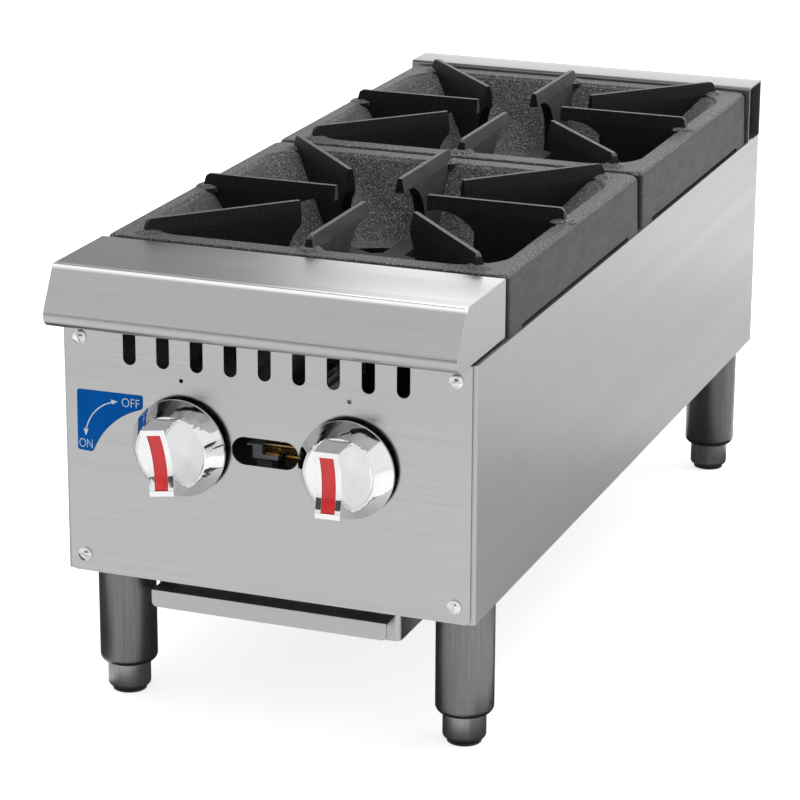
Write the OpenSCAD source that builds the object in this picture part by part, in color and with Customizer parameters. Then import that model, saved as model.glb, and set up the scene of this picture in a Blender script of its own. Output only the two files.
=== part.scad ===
// Two-burner countertop gas hotplate, one burner behind the other.
// Millimetres, Z up, X to the right as seen by the cook, Y towards the back.
// Every module below is drawn with the front panel's face on y = 0 and the floor on z = 0,
// and place() then moves it so that the origin is the middle of the footprint.

/* [Body] */
// Width over the side panels
body_w = 305; // [295:1:340]
// Height of the side panels
body_h = 184; // [175:1:200]
// Thickness of the body's sheet steel
sheet = 1.5; // [1.2:0.1:1.8]
// Outside bend radius of the side panels' front and back edges
bend_r = 2.6; // [2.4:0.1:4]
// Width of the side panels' top flange, which carries the grates
top_flange = 24; // [20:1:26]
// Width of the side panels' bottom flange, which the legs bolt to
bottom_flange = 44; // [42:1:45]

/* [Front panel] */
// Step of the front panel's side edges inside the side panels' faces
panel_step = 3; // [2.5:0.1:7]
// Radius of the front panel's lower corners
panel_corner_r = 4; // [1:0.5:8]
// Number of vent slots
slot_count = 9; // [5:2:9]
// Distance between vent slots
slot_pitch = 25.2; // [20:0.2:27]
// Width of a vent slot
slot_w = 9.6; // [6:0.2:12]
// Height of a vent slot
slot_h = 25; // [18:1:26]
// Drop of the vent slots' upper ends under the side panels' top
slot_drop = 2.8; // [2:0.1:8]
// Length of the pilot window between the knobs
window_l = 49.6; // [30:0.2:56]
// Height of the pilot window
window_h = 20; // [14:1:24]
// Height of the pilot window's centre over the body's base
window_z = 104.6; // [100:0.2:110]
// Diameter of an index hole over each knob
index_d = 3; // [2:0.5:4]
// Height of the index holes over the knobs' axis
index_rise = 46.6; // [42:0.2:52]
// Distance of the panel screws from the panel's side edges
screw_inset = 11.1; // [10:0.1:13]
// Distance of the lower panel screws from the panel's lower edge
screw_low = 12.3; // [10:0.1:20]
// Distance of the upper panel screws from the side panels' top
screw_high = 11.5; // [11:0.1:20]
// Width of the side panels' front and back flanges beyond the screws' axes
screw_land = 3.9; // [3.5:0.1:8]

/* [Front rail] */
// Step of the front rail's ends inside the side panels' faces
rail_step = 2.2; // [0.5:0.1:4.5]
// Height of the front rail's top over the side panels' top
rail_rise = 43.7; // [40:0.1:46]
// Reach of the front rail's top edge in front of the panel
rail_top_reach = 14.3; // [8:0.1:18]
// Reach of the front rail's roll in front of the panel
rail_roll_reach = 31.4; // [26:0.1:36]
// Radius of the front rail's roll
rail_roll_r = 8.5; // [6:0.1:10]
// Distance of the front rail's back wall behind the panel's face
rail_back = 63; // [55:0.5:64]
// Gap between the side panels' top and the front rail's underside
rail_gap = 2; // [1:0.1:3]

/* [Back riser] */
// Depth of the back riser
riser_d = 36.5; // [30:0.5:37]
// Height of the back riser over the side panels' top
riser_h = 47.3; // [42:0.1:60]
// Gap between the back grate and the riser
riser_gap = 1.3; // [1:0.1:6]

/* [Grates] */
// Step of a grate's sides inside the side panels' faces
grate_step = 1.5; // [1:0.5:6]
// Depth of a grate
grate_d = 307.5; // [280:0.5:340]
// Gap between the two grates, and behind the front rail
grate_gap = 3; // [2:0.5:8]
// Height of a grate's rim over the side panels' top
grate_rim_h = 44; // [38:0.5:50]
// Radius of a grate's outer corners
grate_corner_r = 7; // [5:0.5:12]
// Rounding of a grate's outer top edge at its sides
grate_edge_r = 4.5; // [2:0.5:6]
// Depth of the same rounding at its front and back
grate_end_r = 2; // [1:0.5:6]
// Thickness of a grate's skirt and rim
grate_wall = 6; // [5:0.5:8]
// Width of a grate's rim at its sides
rim_side = 15.5; // [13:0.5:20]
// Width of a grate's rim at its front and back
rim_end = 19; // [15:0.5:24]
// Radius of the bowl's corners at the rim
bowl_corner_r = 36; // [20:1:50]
// Depth of the bowl's floor under the rim
bowl_depth = 55.5; // [50:0.5:58]
// Radius of the bowl's flat floor
bowl_floor_r = 100; // [92:1:106]
// Radius of the bowl's opening round the burner
bowl_hole_r = 79; // [76:0.5:84]
// Thickness of the bowl's wall and floor
bowl_wall = 5; // [4:0.5:7]
// Rise of the fingers' tops over the rim
finger_rise = 10; // [6:0.5:16]
// Width of a finger at its top
finger_top_w = 3.4; // [2:0.2:6]
// Height of the finger's tapered crown
finger_crown_h = 10; // [6:1:14]
// Width of a finger under its crown
finger_side_w = 7.4; // [6:0.2:9]
// Width of a finger at the bowl's floor
finger_root_w = 9.5; // [8:0.5:12]
// Radius at which the straight fingers end
finger_tip_r = 36; // [34:1:40]
// Radius at which the corner fingers end
corner_tip_r = 67; // [62:1:70]
// Height of a finger at its tip
finger_tip_h = 11; // [9:0.5:14]
// Radius of the arch under the fingers
arch_r = 33; // [30:1:34]
// Height of a grate's corner feet over the cut between them
foot_cut = 2.6; // [1:0.2:5]
// Length of a grate's corner feet
foot_l = 30; // [20:1:50]

/* [Burners] */
// Radius of the burner head's arms
head_r = 65; // [58:1:70]
// Number of arms on a burner head
head_arms = 6; // [4:1:8]
// Width of a burner arm
arm_w = 17; // [12:1:18]
// Radius of the burner head's hub
hub_r = 25; // [22:1:30]
// Thickness of the burner head's arms
head_h = 20; // [16:1:22]
// Depth of the head's top under the grate's rim
head_drop = 44.5; // [42:0.5:48]
// Diameter of a flame port
port_d = 2.6; // [2:0.1:3]
// Flame ports along each side of an arm
port_count = 4; // [2:1:5]
// Radius of the burner casting's chamber
chamber_r = 31; // [28:1:34]
// Outer radius of the mixing tube
mixer_r = 14; // [12:0.5:15]
// Wall of the mixing tube and chamber
casting_wall = 4; // [3:0.5:5]
// Radius of the mixing tube's bend
mixer_bend_r = 34; // [32:1:36]
// Width of the burner brackets, front to back
bracket_w = 44; // [36:1:50]

/* [Gas] */
// Distance of the knobs' axes from the middle
knob_x = 62; // [60:0.5:66]
// Height of the knobs' axes over the body's base
knob_z = 102.5; // [100:0.5:106]
// Radius of the manifold and supply pipes
pipe_r = 13.34; // [12:0.01:14]
// Wall of the manifold and supply pipes
pipe_wall = 2.9; // [2:0.1:4]
// Drop of the manifold's axis under the knobs' axes
manifold_drop = 44; // [42:0.5:48]
// Distance of the manifold's axis behind the panel's face
manifold_y = 48; // [42:1:52]
// Distance of the supply pipe's axis from the left side panel's face
supply_inset = 34.5; // [30:0.5:40]
// Length of the inlet behind the back panel
inlet_l = 28; // [20:1:40]
// Radius of the valve's body
valve_r = 11; // [10:0.5:13]
// Radius of a valve's stem
stem_r = 4; // [3.5:0.1:5]
// Radius of the pilot tubes
pilot_r = 2.4; // [2:0.1:3]

/* [Knobs] */
// Radius of a knob's skirt
knob_r = 34.8; // [30:0.1:38]
// Radius of a knob's front face
knob_face_r = 26.5; // [24:0.1:29]
// Gap between a knob's skirt and the panel
knob_gap = 5; // [2:0.5:8]
// Height of a knob's skirt
knob_skirt_h = 15; // [11:0.5:18]
// Width of a knob's grip bar at its front
bar_w = 18.2; // [14:0.2:22]
// Length of a grip bar at its front
bar_l = 47; // [42:0.5:50]
// Length of the lip at each end of a grip bar's hollow front
bar_lip = 3.8; // [3:0.1:6]
// Reach of a knob's grip bar in front of the panel
bar_reach = 41; // [34:0.5:46]
// Width of the colour insert
insert_w = 10; // [6:0.5:14]
// Turn of the left knob as it stands in the off position
left_knob_turn = 8; // [0:1:12]
// Turn of the right knob as it stands in the off position
right_knob_turn = 1; // [0:1:12]

/* [Legs] */
// Distance of the legs' axes from the side panels' faces
leg_inset = 23; // [21.5:0.1:24.5]
// Distance of the front legs' axes behind the panel's face
leg_front_y = 48; // [40:1:60]
// Distance of the back legs' axes in front of the back edge
leg_back_y = 43; // [30:1:60]
// Outer radius of a leg's tube
leg_r = 20.8; // [18:0.1:21]
// Wall of a leg's tube
leg_wall = 1.5; // [1.2:0.1:3]
// Radius of an adjustable foot
foot_r = 15.5; // [12:0.1:17]
// Height of a foot under its leg at the lowest setting
foot_h = 22.7; // [18:0.1:30]
// Height of the leg and foot together
leg_total = 106.5; // [95:0.5:130]
// Thickness of the foot's black pad
pad_h = 3; // [2:0.5:5]
// Radius of a leg's fixing stud
stud_r = 5; // [4:0.5:6]
// Travel of an adjustable foot
foot_travel = 25; // [10:1:30]

/* [Drip tray] */
// Width of the tray runners' upper flanges
runner_flange = 9.2; // [6:0.1:14]
// Distance of the tray's back wall from the body's back edge
tray_back = 33.8; // [28:0.1:60]
// Height of the drip tray's pan
tray_h = 19.5; // [16:0.5:20]
// Drop of the tray's rim under the body's base
tray_drop = 8; // [7:0.5:9]
// Distance of the tray's front wall behind the panel's face
tray_front = 19; // [16:0.5:24]
// Distance of the tray's lip behind the panel's face
lip_y = 1.3; // [0.5:0.1:3]
// Step of the lip's ends inside the tray's sides
lip_step = 3.5; // [2:0.1:12]
// Height of the tray's lip
lip_h = 12.7; // [10:0.1:16]
// Width of the tray's side flanges
tray_flange = 7; // [5:0.5:8]

/* [Clearances] */
// Gap between pieces that move past each other
run_gap = 0.3; // [0.2:0.05:0.5]
// Gap of a shaft in its bore
shaft_gap = 0.06; // [0.03:0.01:0.1]
// Gap between fixed pieces that fit into each other
fit_gap = 0.05; // [0.02:0.01:0.1]

/* [Hidden] */
$fn = 64;
// Overlap that makes a cut go right through
eps = 1;

// Levels
base_z = leg_total;
top_z = base_z + body_h;
rim_z = top_z + grate_rim_h;
finger_z = rim_z + finger_rise;
bowl_floor_z = rim_z - bowl_depth;
head_top_z = rim_z - head_drop;
axis_z = base_z + knob_z;
manifold_z = axis_z - manifold_drop;
pan_z = base_z + sheet;
plate_z = pan_z + sheet;

// Depths, from the panel's face through the rail and the two grates to the riser
panel_y = 0;
side_y = sheet + fit_gap * 2;
front_grate_y = rail_back + grate_gap + grate_d / 2;
back_grate_y = front_grate_y + grate_d + grate_gap;
riser_y = back_grate_y + grate_d / 2 + riser_gap;
back_y = riser_y + riser_d;
rear_end_y = back_y + inlet_l;
front_end_y = -bar_reach;
y_shift = -(front_end_y + rear_end_y) / 2;
leg_rows = [leg_front_y, back_y - leg_back_y];
tray_d = back_y - tray_back - tray_front;

// Widths, from the side panels' faces inwards
panel_w = body_w - 2 * panel_step;
rail_w = body_w - 2 * rail_step;
grate_w = body_w - 2 * grate_step;
edge_flange = panel_step + screw_inset + screw_land;
leg_x = body_w / 2 - leg_inset;
supply_x = body_w / 2 - supply_inset;
tray_w = body_w - 2 * (bottom_flange + runner_flange + run_gap + tray_flange);
lip_l = tray_w - 2 * lip_step;

// Inside of the body, and the flat stretch between its corner bends
inside_x = body_w / 2 - sheet;
bend_inset = bend_r - sheet + fit_gap;
flat_x = inside_x - bend_inset;

module place() {
  translate([0, y_shift, 0]) children();
}

// Plain rounded rectangle on the origin's plane, centred
module round_rect(w, l, r) {
  square([w - 2 * r, l], center = true);
  square([w, l - 2 * r], center = true);
  for (sx = [-1, 1]) for (sy = [-1, 1])
    translate([sx * (w / 2 - r), sy * (l / 2 - r)]) circle(r);
}

// Rounded rectangle between two corners
module round_span(x0, x1, y0, y1, r) {
  translate([(x0 + x1) / 2, (y0 + y1) / 2]) round_rect(x1 - x0, y1 - y0, r);
}

// Slot with round ends, centred
module obround(w, h) {
  r = min(w, h) / 2;
  square(w > h ? [w - 2 * r, h] : [w, h - 2 * r], center = true);
  for (s = [-1, 1]) translate([s * (w / 2 - r), s * (h / 2 - r)]) circle(r);
}

// Stands a drawing up: its X stays, its Y becomes Z, and it is t thick from y0 backwards
module upright(y0, t) {
  translate([0, y0 + t, 0]) rotate([90, 0, 0]) linear_extrude(t) children();
}

// Runs a YZ drawing along X from x0 for length l
module along_x(x0, l) {
  translate([x0, 0, 0]) rotate([90, 0, 90]) linear_extrude(l) children();
}

// Cylinder along Y from y0 to y1
module rod_y(x, z, r, y0, y1) {
  translate([x, y0, z]) rotate([-90, 0, 0]) cylinder(h = y1 - y0, r = r);
}

// Symmetric trapezium from width w0 at height z0 to width w1 at height z1
module taper(w0, z0, w1, z1) {
  polygon([[-w0 / 2, z0], [w0 / 2, z0], [w1 / 2, z1], [-w1 / 2, z1]]);
}

// Box between two corners
module box(a, b) {
  translate(a) cube(b - a);
}

// Places of the four panel screws and the two knobs
panel_screw_x = panel_w / 2 - screw_inset;
panel_screw_z = [base_z + screw_low, top_z - screw_high];
screw_shank_r = 2.4;
screw_hole_r = 2.75;

// Front panel: a flat sheet with a narrower tongue that carries the front rail
tongue_w = rail_w - 18;
tongue_z = top_z + rail_rise - sheet;
tongue_flange = 22;
shaft_hole_r = 8;

module panel_outline() {
  round_span(-panel_w / 2, panel_w / 2, base_z, top_z - fit_gap, panel_corner_r);
  straight_z = base_z + panel_corner_r;
  translate([-panel_w / 2, straight_z]) square([panel_w, top_z - fit_gap - straight_z]);
  translate([-tongue_w / 2, straight_z]) square([tongue_w, tongue_z - straight_z]);
}

module front_panel() {
  color([0.76, 0.76, 0.76]) place() {
    difference() {
      upright(panel_y, sheet) panel_outline();
      for (i = [0 : slot_count - 1])
        translate([(i - (slot_count - 1) / 2) * slot_pitch, 0, top_z - slot_drop - slot_h / 2])
          upright(-eps, sheet + 2 * eps) obround(slot_w, slot_h);
      translate([0, 0, base_z + window_z]) upright(-eps, sheet + 2 * eps) obround(window_l, window_h);
      for (s = [-1, 1]) {
        rod_y(s * knob_x, axis_z, shaft_hole_r, -eps, sheet + eps);
        rod_y(s * knob_x, axis_z + index_rise, index_d / 2, -eps, sheet + eps);
        for (z = panel_screw_z) rod_y(s * panel_screw_x, z, screw_hole_r, -eps, sheet + eps);
      }
    }
    box([-tongue_w / 2, 0, tongue_z - sheet], [tongue_w / 2, tongue_flange, tongue_z]);
  }
}

// Side panel: bent sheet with a flange on each of its four edges
module side_plan() {
  intersection() {
    difference() {
      round_span(0, body_w / 2, side_y, back_y, bend_r);
      round_span(-eps, inside_x, side_y + sheet, back_y - sheet, bend_r - sheet);
    }
    translate([body_w / 2 - edge_flange, 0]) square([edge_flange + eps, back_y + eps]);
  }
}

// Level flange of width w along a side panel, with its underside at z
module side_flange(w, z) {
  box([body_w / 2 - w, side_y + sheet, z], [inside_x + sheet / 2, back_y - sheet, z + sheet]);
}

module side_panel() {
  thread_r = screw_shank_r + fit_gap;
  difference() {
    union() {
      translate([0, 0, base_z]) linear_extrude(body_h) side_plan();
      side_flange(top_flange, top_z - sheet);
      side_flange(bottom_flange, base_z);
    }
    for (z = panel_screw_z) rod_y(panel_screw_x, z, thread_r, 0, side_y + sheet + eps);
    for (z = back_screw_z) rod_y(back_screw_x, z, thread_r, back_y - sheet - eps, back_y + eps);
    for (y = leg_rows)
      translate([leg_x, y, base_z - eps]) cylinder(h = sheet + 2 * eps, r = stud_r + fit_gap);
  }
}

module right_side_panel() {
  color([0.80, 0.80, 0.80]) place() side_panel();
}

module left_side_panel() {
  color([0.80, 0.80, 0.80]) place() mirror([1, 0, 0]) side_panel();
}

// Back panel: flat sheet inside the side panels' back flanges, with a tongue up into the riser
back_panel_y = back_y - 2 * sheet - fit_gap;
back_screw_x = body_w / 2 - edge_flange / 2 - 0.5;
back_screw_inset = 20;
back_screw_z = [base_z + back_screw_inset, base_z + body_h / 2, top_z - back_screw_inset];
louvre_w = 60;
louvre_h = 6;
louvre_rows = 5;
louvre_pitch = 13;
louvre_x = 75;
louvre_drop = 40;
inlet_hole_r = pipe_r + 1.5;
back_tongue_x = body_w / 2 - top_flange - 1;
back_tongue_z = top_z + riser_h * 0.7;

module back_panel() {
  rear_y = back_panel_y + sheet;
  color([0.72, 0.72, 0.73]) place() difference() {
    union() {
      box([-flat_x, back_panel_y, plate_z + fit_gap], [flat_x, rear_y, top_z - sheet - fit_gap]);
      box([-back_tongue_x, back_panel_y, top_z / 2], [back_tongue_x, rear_y, back_tongue_z]);
    }
    rod_y(-supply_x, manifold_z, inlet_hole_r, back_panel_y - eps, rear_y + eps);
    for (s = [-1, 1]) {
      for (z = back_screw_z) rod_y(s * back_screw_x, z, screw_hole_r, back_panel_y - eps, rear_y + eps);
      for (i = [0 : louvre_rows - 1])
        translate([s * louvre_x, 0, top_z - louvre_drop - i * louvre_pitch])
          upright(back_panel_y - eps, sheet + 2 * eps) obround(louvre_w, louvre_h);
    }
  }
}

// Base pan: frame on the side panels' bottom flanges, with a lipped opening over the tray
pan_ledge = 6;
pan_front_ledge = 25;
pan_back_ledge = 14;
pan_open_w = tray_w - 2 * pan_ledge;
pan_open_y0 = tray_front + pan_front_ledge;
pan_open_y1 = tray_front + tray_d - pan_back_ledge;
lip_z = base_z - tray_drop + 4;

// Box over the base pan's opening, grown sideways by t
module pan_opening(t, z0, z1) {
  box([-pan_open_w / 2 - t, pan_open_y0 - t, z0], [pan_open_w / 2 + t, pan_open_y1 + t, z1]);
}

module base_pan() {
  color([0.70, 0.70, 0.71]) place() difference() {
    union() {
      box([-flat_x, side_y + sheet + fit_gap, pan_z], [flat_x, back_y - sheet - fit_gap, plate_z]);
      pan_opening(sheet, lip_z, pan_z + sheet / 2);
    }
    pan_opening(0, lip_z - eps, plate_z + eps);
    for (s = [-1, 1]) for (y = leg_rows)
      translate([s * leg_x, y, pan_z - eps]) cylinder(h = sheet + 2 * eps, r = stud_r + fit_gap);
  }
}

// Front rail: rolled sheet profile with closed ends
rail_top_z = top_z + rail_rise;
rail_low_z = top_z + rail_gap;
roll_y = -rail_roll_reach + rail_roll_r;
roll_z = rail_low_z + rail_roll_r;
rail_hem_y = roll_y + 8;

// Point where the line from p touches the roll of radius r, on its outer side
function touch_point(p, r) =
  let (d = [roll_y - p[0], roll_z - p[1]],
       far = norm(d),
       heading = atan2(d[1], d[0]) - asin(r / far),
       reach = sqrt(far * far - r * r))
  [p[0] + reach * cos(heading), p[1] + reach * sin(heading)];

module rail_section(t, back) {
  edge = [-rail_top_reach + t * 0.75, rail_top_z - t];
  r = rail_roll_r - t;
  polygon([[back, rail_top_z - t], edge, touch_point(edge, r),
           [roll_y, roll_z], [roll_y, roll_z - r], [back, roll_z - r]]);
  translate([roll_y, roll_z]) circle(r);
}

module front_rail() {
  color([0.74, 0.74, 0.74]) place() {
    along_x(-rail_w / 2, rail_w) difference() {
      rail_section(0, rail_back);
      rail_section(sheet, rail_back - sheet);
      translate([rail_hem_y, rail_low_z - eps])
        square([rail_back - sheet - rail_hem_y, roll_z - rail_low_z]);
    }
    for (x = [-rail_w / 2, rail_w / 2 - sheet]) along_x(x, sheet) rail_section(0, rail_back);
  }
}

// Back riser: channel open below and at both ends, with a foot turned in at the front
riser_foot = 12;

module back_riser() {
  riser_z = top_z + riser_h;
  color([0.78, 0.78, 0.78]) place() along_x(-body_w / 2, body_w) {
    difference() {
      round_span(riser_y, back_y, top_z, riser_z, bend_r);
      round_span(riser_y + sheet, back_y - sheet, top_z - 2 * bend_r, riser_z - sheet, bend_r - sheet);
    }
    translate([riser_y, top_z]) square([sheet, 2 * bend_r]);
    translate([back_y - sheet, top_z]) square([sheet, 2 * bend_r]);
    translate([riser_y, top_z]) square([riser_foot, sheet]);
  }
}

// Tray runner: Z section under the base pan
tray_top_z = base_z - tray_drop;
tray_out_x = tray_w / 2 + tray_flange;
runner_in_x = tray_w / 2 + 0.8;
runner_web_x = tray_out_x + run_gap;
runner_inset = 13;
runner_overrun = 6;
runner_y0 = tray_front + runner_inset;
runner_y1 = tray_front + tray_d + runner_overrun;

module tray_runner() {
  ledge_z = tray_top_z - sheet - run_gap - sheet;
  upright(runner_y0, runner_y1 - runner_y0) {
    translate([runner_in_x, ledge_z]) square([runner_web_x + sheet - runner_in_x, sheet]);
    translate([runner_web_x, ledge_z]) square([sheet, pan_z - ledge_z]);
    translate([runner_web_x, pan_z - sheet]) square([runner_flange, sheet]);
  }
}

module right_tray_runner() {
  color([0.66, 0.66, 0.67]) place() tray_runner();
}

module left_tray_runner() {
  color([0.66, 0.66, 0.67]) place() mirror([1, 0, 0]) tray_runner();
}

// Drip tray: pan with side flanges and a folded front handle
tray_corner_r = 5;
lip_corner_r = 4;

// Plan of the tray's pan, drawn inwards by t
module tray_plan(t) {
  translate([0, tray_front + tray_d / 2]) round_rect(tray_w - 2 * t, tray_d - 2 * t, tray_corner_r - t);
}

module drip_tray() {
  tray_low_z = tray_top_z - tray_h;
  color([0.74, 0.74, 0.75]) place() {
    difference() {
      union() {
        translate([0, 0, tray_low_z]) linear_extrude(tray_h) tray_plan(0);
        box([-tray_out_x, tray_front + tray_corner_r, tray_top_z - sheet],
            [tray_out_x, tray_front + tray_d - tray_corner_r, tray_top_z]);
      }
      translate([0, 0, tray_low_z + sheet]) linear_extrude(tray_h) tray_plan(sheet);
    }
    box([-lip_l / 2, lip_y, tray_top_z - sheet], [lip_l / 2, tray_front + sheet, tray_top_z]);
    upright(lip_y, sheet) {
      round_span(-lip_l / 2, lip_l / 2, tray_top_z - lip_h, tray_top_z, lip_corner_r);
      translate([-lip_l / 2, tray_top_z - lip_h / 2]) square([lip_l, lip_h / 2]);
    }
  }
}

// Cast grate: skirt, rim, dished bowl and eight fingers in one casting
grate_half_x = grate_w / 2 - rim_side;
grate_half_y = grate_d / 2 - rim_end;
skirt_draft = 1;
arch_x = 46;
arch_z = rim_z - arch_r;
heel = 1.5;
heel_r = 4;
bowl_edge_w = 2.2;
lump_h = 2.4;
lump_r = 10;

// Outer form of the casting, with a drafted skirt and a rounded top edge
module grate_block() {
  hull() {
    translate([0, 0, top_z]) linear_extrude(0.1) round_rect(grate_w, grate_d, grate_corner_r);
    for (a = [0 : 22.5 : 90]) {
      side_inset = grate_edge_r * (1 - cos(a)) + skirt_draft;
      end_inset = grate_end_r * (1 - cos(a)) + skirt_draft;
      translate([0, 0, rim_z - grate_edge_r * (1 - sin(a)) - 0.1])
        linear_extrude(0.1) round_rect(grate_w - 2 * side_inset, grate_d - 2 * end_inset, grate_corner_r);
    }
  }
}

// Eased edge between the rim and the bowl
module bowl_edge() {
  hull() for (z = [0, bowl_edge_w]) translate([0, 0, rim_z - bowl_edge_w + z]) linear_extrude(0.1 + z)
    round_rect(2 * (grate_half_x + z), 2 * (grate_half_y + z), bowl_corner_r + z);
}

// Bowl between a rounded square at the rim and a round floor, grown by t
module bowl_form(t) {
  hull() {
    translate([0, 0, rim_z]) linear_extrude(eps)
      round_rect(2 * (grate_half_x + t), 2 * (grate_half_y + t), bowl_corner_r + t);
    translate([0, 0, bowl_floor_z - t]) linear_extrude(0.1) circle(bowl_floor_r + t, $fn = 48);
  }
}

// Side view of a finger: flat top, rounded heel on the rim, and an arch over the burner
module finger_side(tip, out) {
  tip_z = finger_z - finger_tip_h;
  low_z = bowl_floor_z - bowl_wall;
  heel_arc = [for (a = [90 : -22.5 : 0])
    [out - heel_r * (1 - cos(a)), finger_z - heel_r * (1 - sin(a))]];
  difference() {
    polygon(concat([[tip, finger_z]], heel_arc,
                   [[out + heel, rim_z - 1], [out + heel, rim_z - grate_wall + 1],
                    [out, low_z], [tip, low_z]]));
    translate([0, bowl_floor_z - 10]) square([arch_x + arch_r, arch_z - bowl_floor_z + 10]);
    translate([arch_x, arch_z]) circle(arch_r);
    translate([0, bowl_floor_z]) square([arch_x, tip_z - bowl_floor_z]);
  }
}

// Section of a finger: a crown that tapers to the top, and drafted sides under it
module finger_section() {
  crown_z = finger_z - finger_crown_h;
  low_z = bowl_floor_z - bowl_wall;
  polygon([[-finger_root_w / 2, low_z], [finger_root_w / 2, low_z],
           [finger_side_w / 2, crown_z], [finger_top_w / 2, finger_z],
           [-finger_top_w / 2, finger_z], [-finger_side_w / 2, crown_z]]);
}

// Low round lump that blends a finger's heel into the rim
module heel_lump() {
  rotate_extrude() polygon([[0, -grate_wall / 2], [lump_r, -grate_wall / 2], [lump_r - 0.6, 0],
                            [lump_r * 0.75, lump_h * 0.55], [lump_r * 0.5, lump_h * 0.88], [0, lump_h]]);
}

// Finger along +X: its side view and its section in one
module finger(tip, out) {
  intersection() {
    rotate([90, 0, 0]) linear_extrude(finger_root_w, center = true) finger_side(tip, out);
    rotate([90, 0, 90]) linear_extrude(out + heel + eps) finger_section();
  }
  translate([out - heel, 0, rim_z]) heel_lump();
}

side_out = grate_half_x + 5;
end_out = grate_half_y + 5;
corner_angle = atan2(grate_half_y + 4, grate_half_x - 11);
corner_out = norm([grate_half_y + 4, grate_half_x - 11]);

module fingers() {
  for (a = [0, 180]) rotate(a) finger(finger_tip_r, side_out);
  for (a = [90, 270]) rotate(a) finger(finger_tip_r, end_out);
  for (m = [0, 1]) mirror([m, 0, 0])
    for (s = [-1, 1]) rotate(s * corner_angle) finger(corner_tip_r, corner_out);
}

module grate() {
  difference() {
    union() {
      difference() {
        grate_block();
        translate([0, 0, top_z - eps]) linear_extrude(grate_rim_h - grate_wall + eps)
          round_rect(grate_w - 2 * grate_wall, grate_d - 2 * grate_wall, 3);
        box([foot_l - grate_w / 2, -grate_d, top_z - eps], [grate_w / 2 - foot_l, grate_d, top_z + foot_cut]);
        box([-grate_w, foot_l - grate_d / 2, top_z - eps], [grate_w, grate_d / 2 - foot_l, top_z + foot_cut]);
      }
      intersection() {
        bowl_form(bowl_wall);
        translate([0, 0, bowl_floor_z - bowl_wall]) linear_extrude(rim_z - bowl_floor_z + bowl_wall - 0.2)
          square([grate_w - grate_wall, grate_d - grate_wall], center = true);
      }
    }
    bowl_form(0);
    bowl_edge();
    translate([0, 0, bowl_floor_z - bowl_wall - eps]) cylinder(h = bowl_wall + 2 * eps, r = bowl_hole_r);
  }
  intersection() {
    fingers();
    union() {
      bowl_form(bowl_wall / 2);
      translate([0, 0, rim_z - grate_wall / 2]) linear_extrude(finger_rise + grate_wall)
        square([grate_w, grate_d], center = true);
    }
  }
}

module front_grate() {
  color([0.22, 0.22, 0.23]) place() translate([0, front_grate_y, 0]) grate();
}

module back_grate() {
  color([0.22, 0.22, 0.23]) place() translate([0, back_grate_y, 0]) grate();
}

// Burner head: star of drilled arms on a round hub, with a spigot that drops into the casting
spigot_r = 21;
spigot_h = 12;
throat_z = head_top_z - head_h;
port_z = head_top_z - 6;
port_depth = 5;
head_roof = 5;

// One arm along +X with a round end, thinner than the hub
module burner_arm() {
  arm_h = head_h * 2 / 3;
  translate([0, 0, head_top_z - arm_h]) {
    translate([0, -arm_w / 2, 0]) cube([head_r - arm_w / 2, arm_w, arm_h]);
    translate([head_r - arm_w / 2, 0, 0]) cylinder(h = arm_h, r = arm_w / 2);
  }
}

// The flame ports along both sides of one arm
module arm_ports() {
  port_pitch = (head_r - hub_r - 12) / (port_count - 1);
  for (s = [-1, 1]) for (j = [0 : port_count - 1])
    translate([hub_r + 5 + j * port_pitch, s * (arm_w / 2 + eps), port_z])
      rotate([s * 90, 0, 0]) cylinder(h = port_depth + eps, d = port_d, $fn = 16);
}

module burner_head() {
  arm_step = 360 / head_arms;
  spigot_z = throat_z - spigot_h;
  difference() {
    union() {
      translate([0, 0, throat_z]) cylinder(h = head_h, r = hub_r);
      for (i = [0 : head_arms - 1]) rotate(90 + i * arm_step) burner_arm();
      translate([0, 0, spigot_z]) cylinder(h = spigot_h + eps, r = spigot_r);
    }
    translate([0, 0, spigot_z - eps])
      cylinder(h = head_top_z - head_roof - spigot_z + eps, r = spigot_r - casting_wall);
    for (i = [0 : head_arms - 1]) rotate(90 + i * arm_step) arm_ports();
  }
}

module front_burner_head() {
  color([0.20, 0.20, 0.21]) place() translate([0, front_grate_y, 0]) burner_head();
}

module back_burner_head() {
  color([0.20, 0.20, 0.21]) place() translate([0, back_grate_y, 0]) burner_head();
}

// Burner casting: round chamber with a side tube that bends forward to the valve's axis
chamber_low_z = axis_z - mixer_r - 3;
mouth_gap = 44;
mouth_y = manifold_y + mouth_gap;
mouth_r = 19;
mouth_l = 26;

// The mixing tube, from its mouth to the chamber on the origin, grown inwards by t
module mixing_tube(t, y_mid) {
  r = mixer_r - t;
  bend_y = y_mid - mixer_bend_r;
  rod_y(knob_x, axis_z, r, mouth_y + mouth_l - eps, bend_y);
  translate([knob_x - mixer_bend_r, bend_y, axis_z])
    rotate_extrude(angle = 90) translate([mixer_bend_r, 0]) circle(r);
  translate([0, y_mid, axis_z]) rotate([0, 90, 0]) cylinder(h = knob_x - mixer_bend_r, r = r);
  translate([knob_x, mouth_y - (t > 0 ? eps : 0), axis_z]) rotate([-90, 0, 0])
    cylinder(h = mouth_l + (t > 0 ? eps : 0), r1 = mouth_r - t, r2 = r);
}

module burner_casting(y_mid) {
  throat_r = spigot_r + run_gap;
  difference() {
    union() {
      mixing_tube(0, y_mid);
      translate([0, y_mid, chamber_low_z]) cylinder(h = throat_z - chamber_low_z, r = chamber_r);
    }
    mixing_tube(casting_wall, y_mid);
    translate([0, y_mid, chamber_low_z + casting_wall])
      cylinder(h = throat_z - chamber_low_z - casting_wall - spigot_h - 3, r = chamber_r - casting_wall);
    translate([0, y_mid, throat_z - spigot_h - 4]) cylinder(h = spigot_h + 4 + eps, r = throat_r);
  }
}

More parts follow.
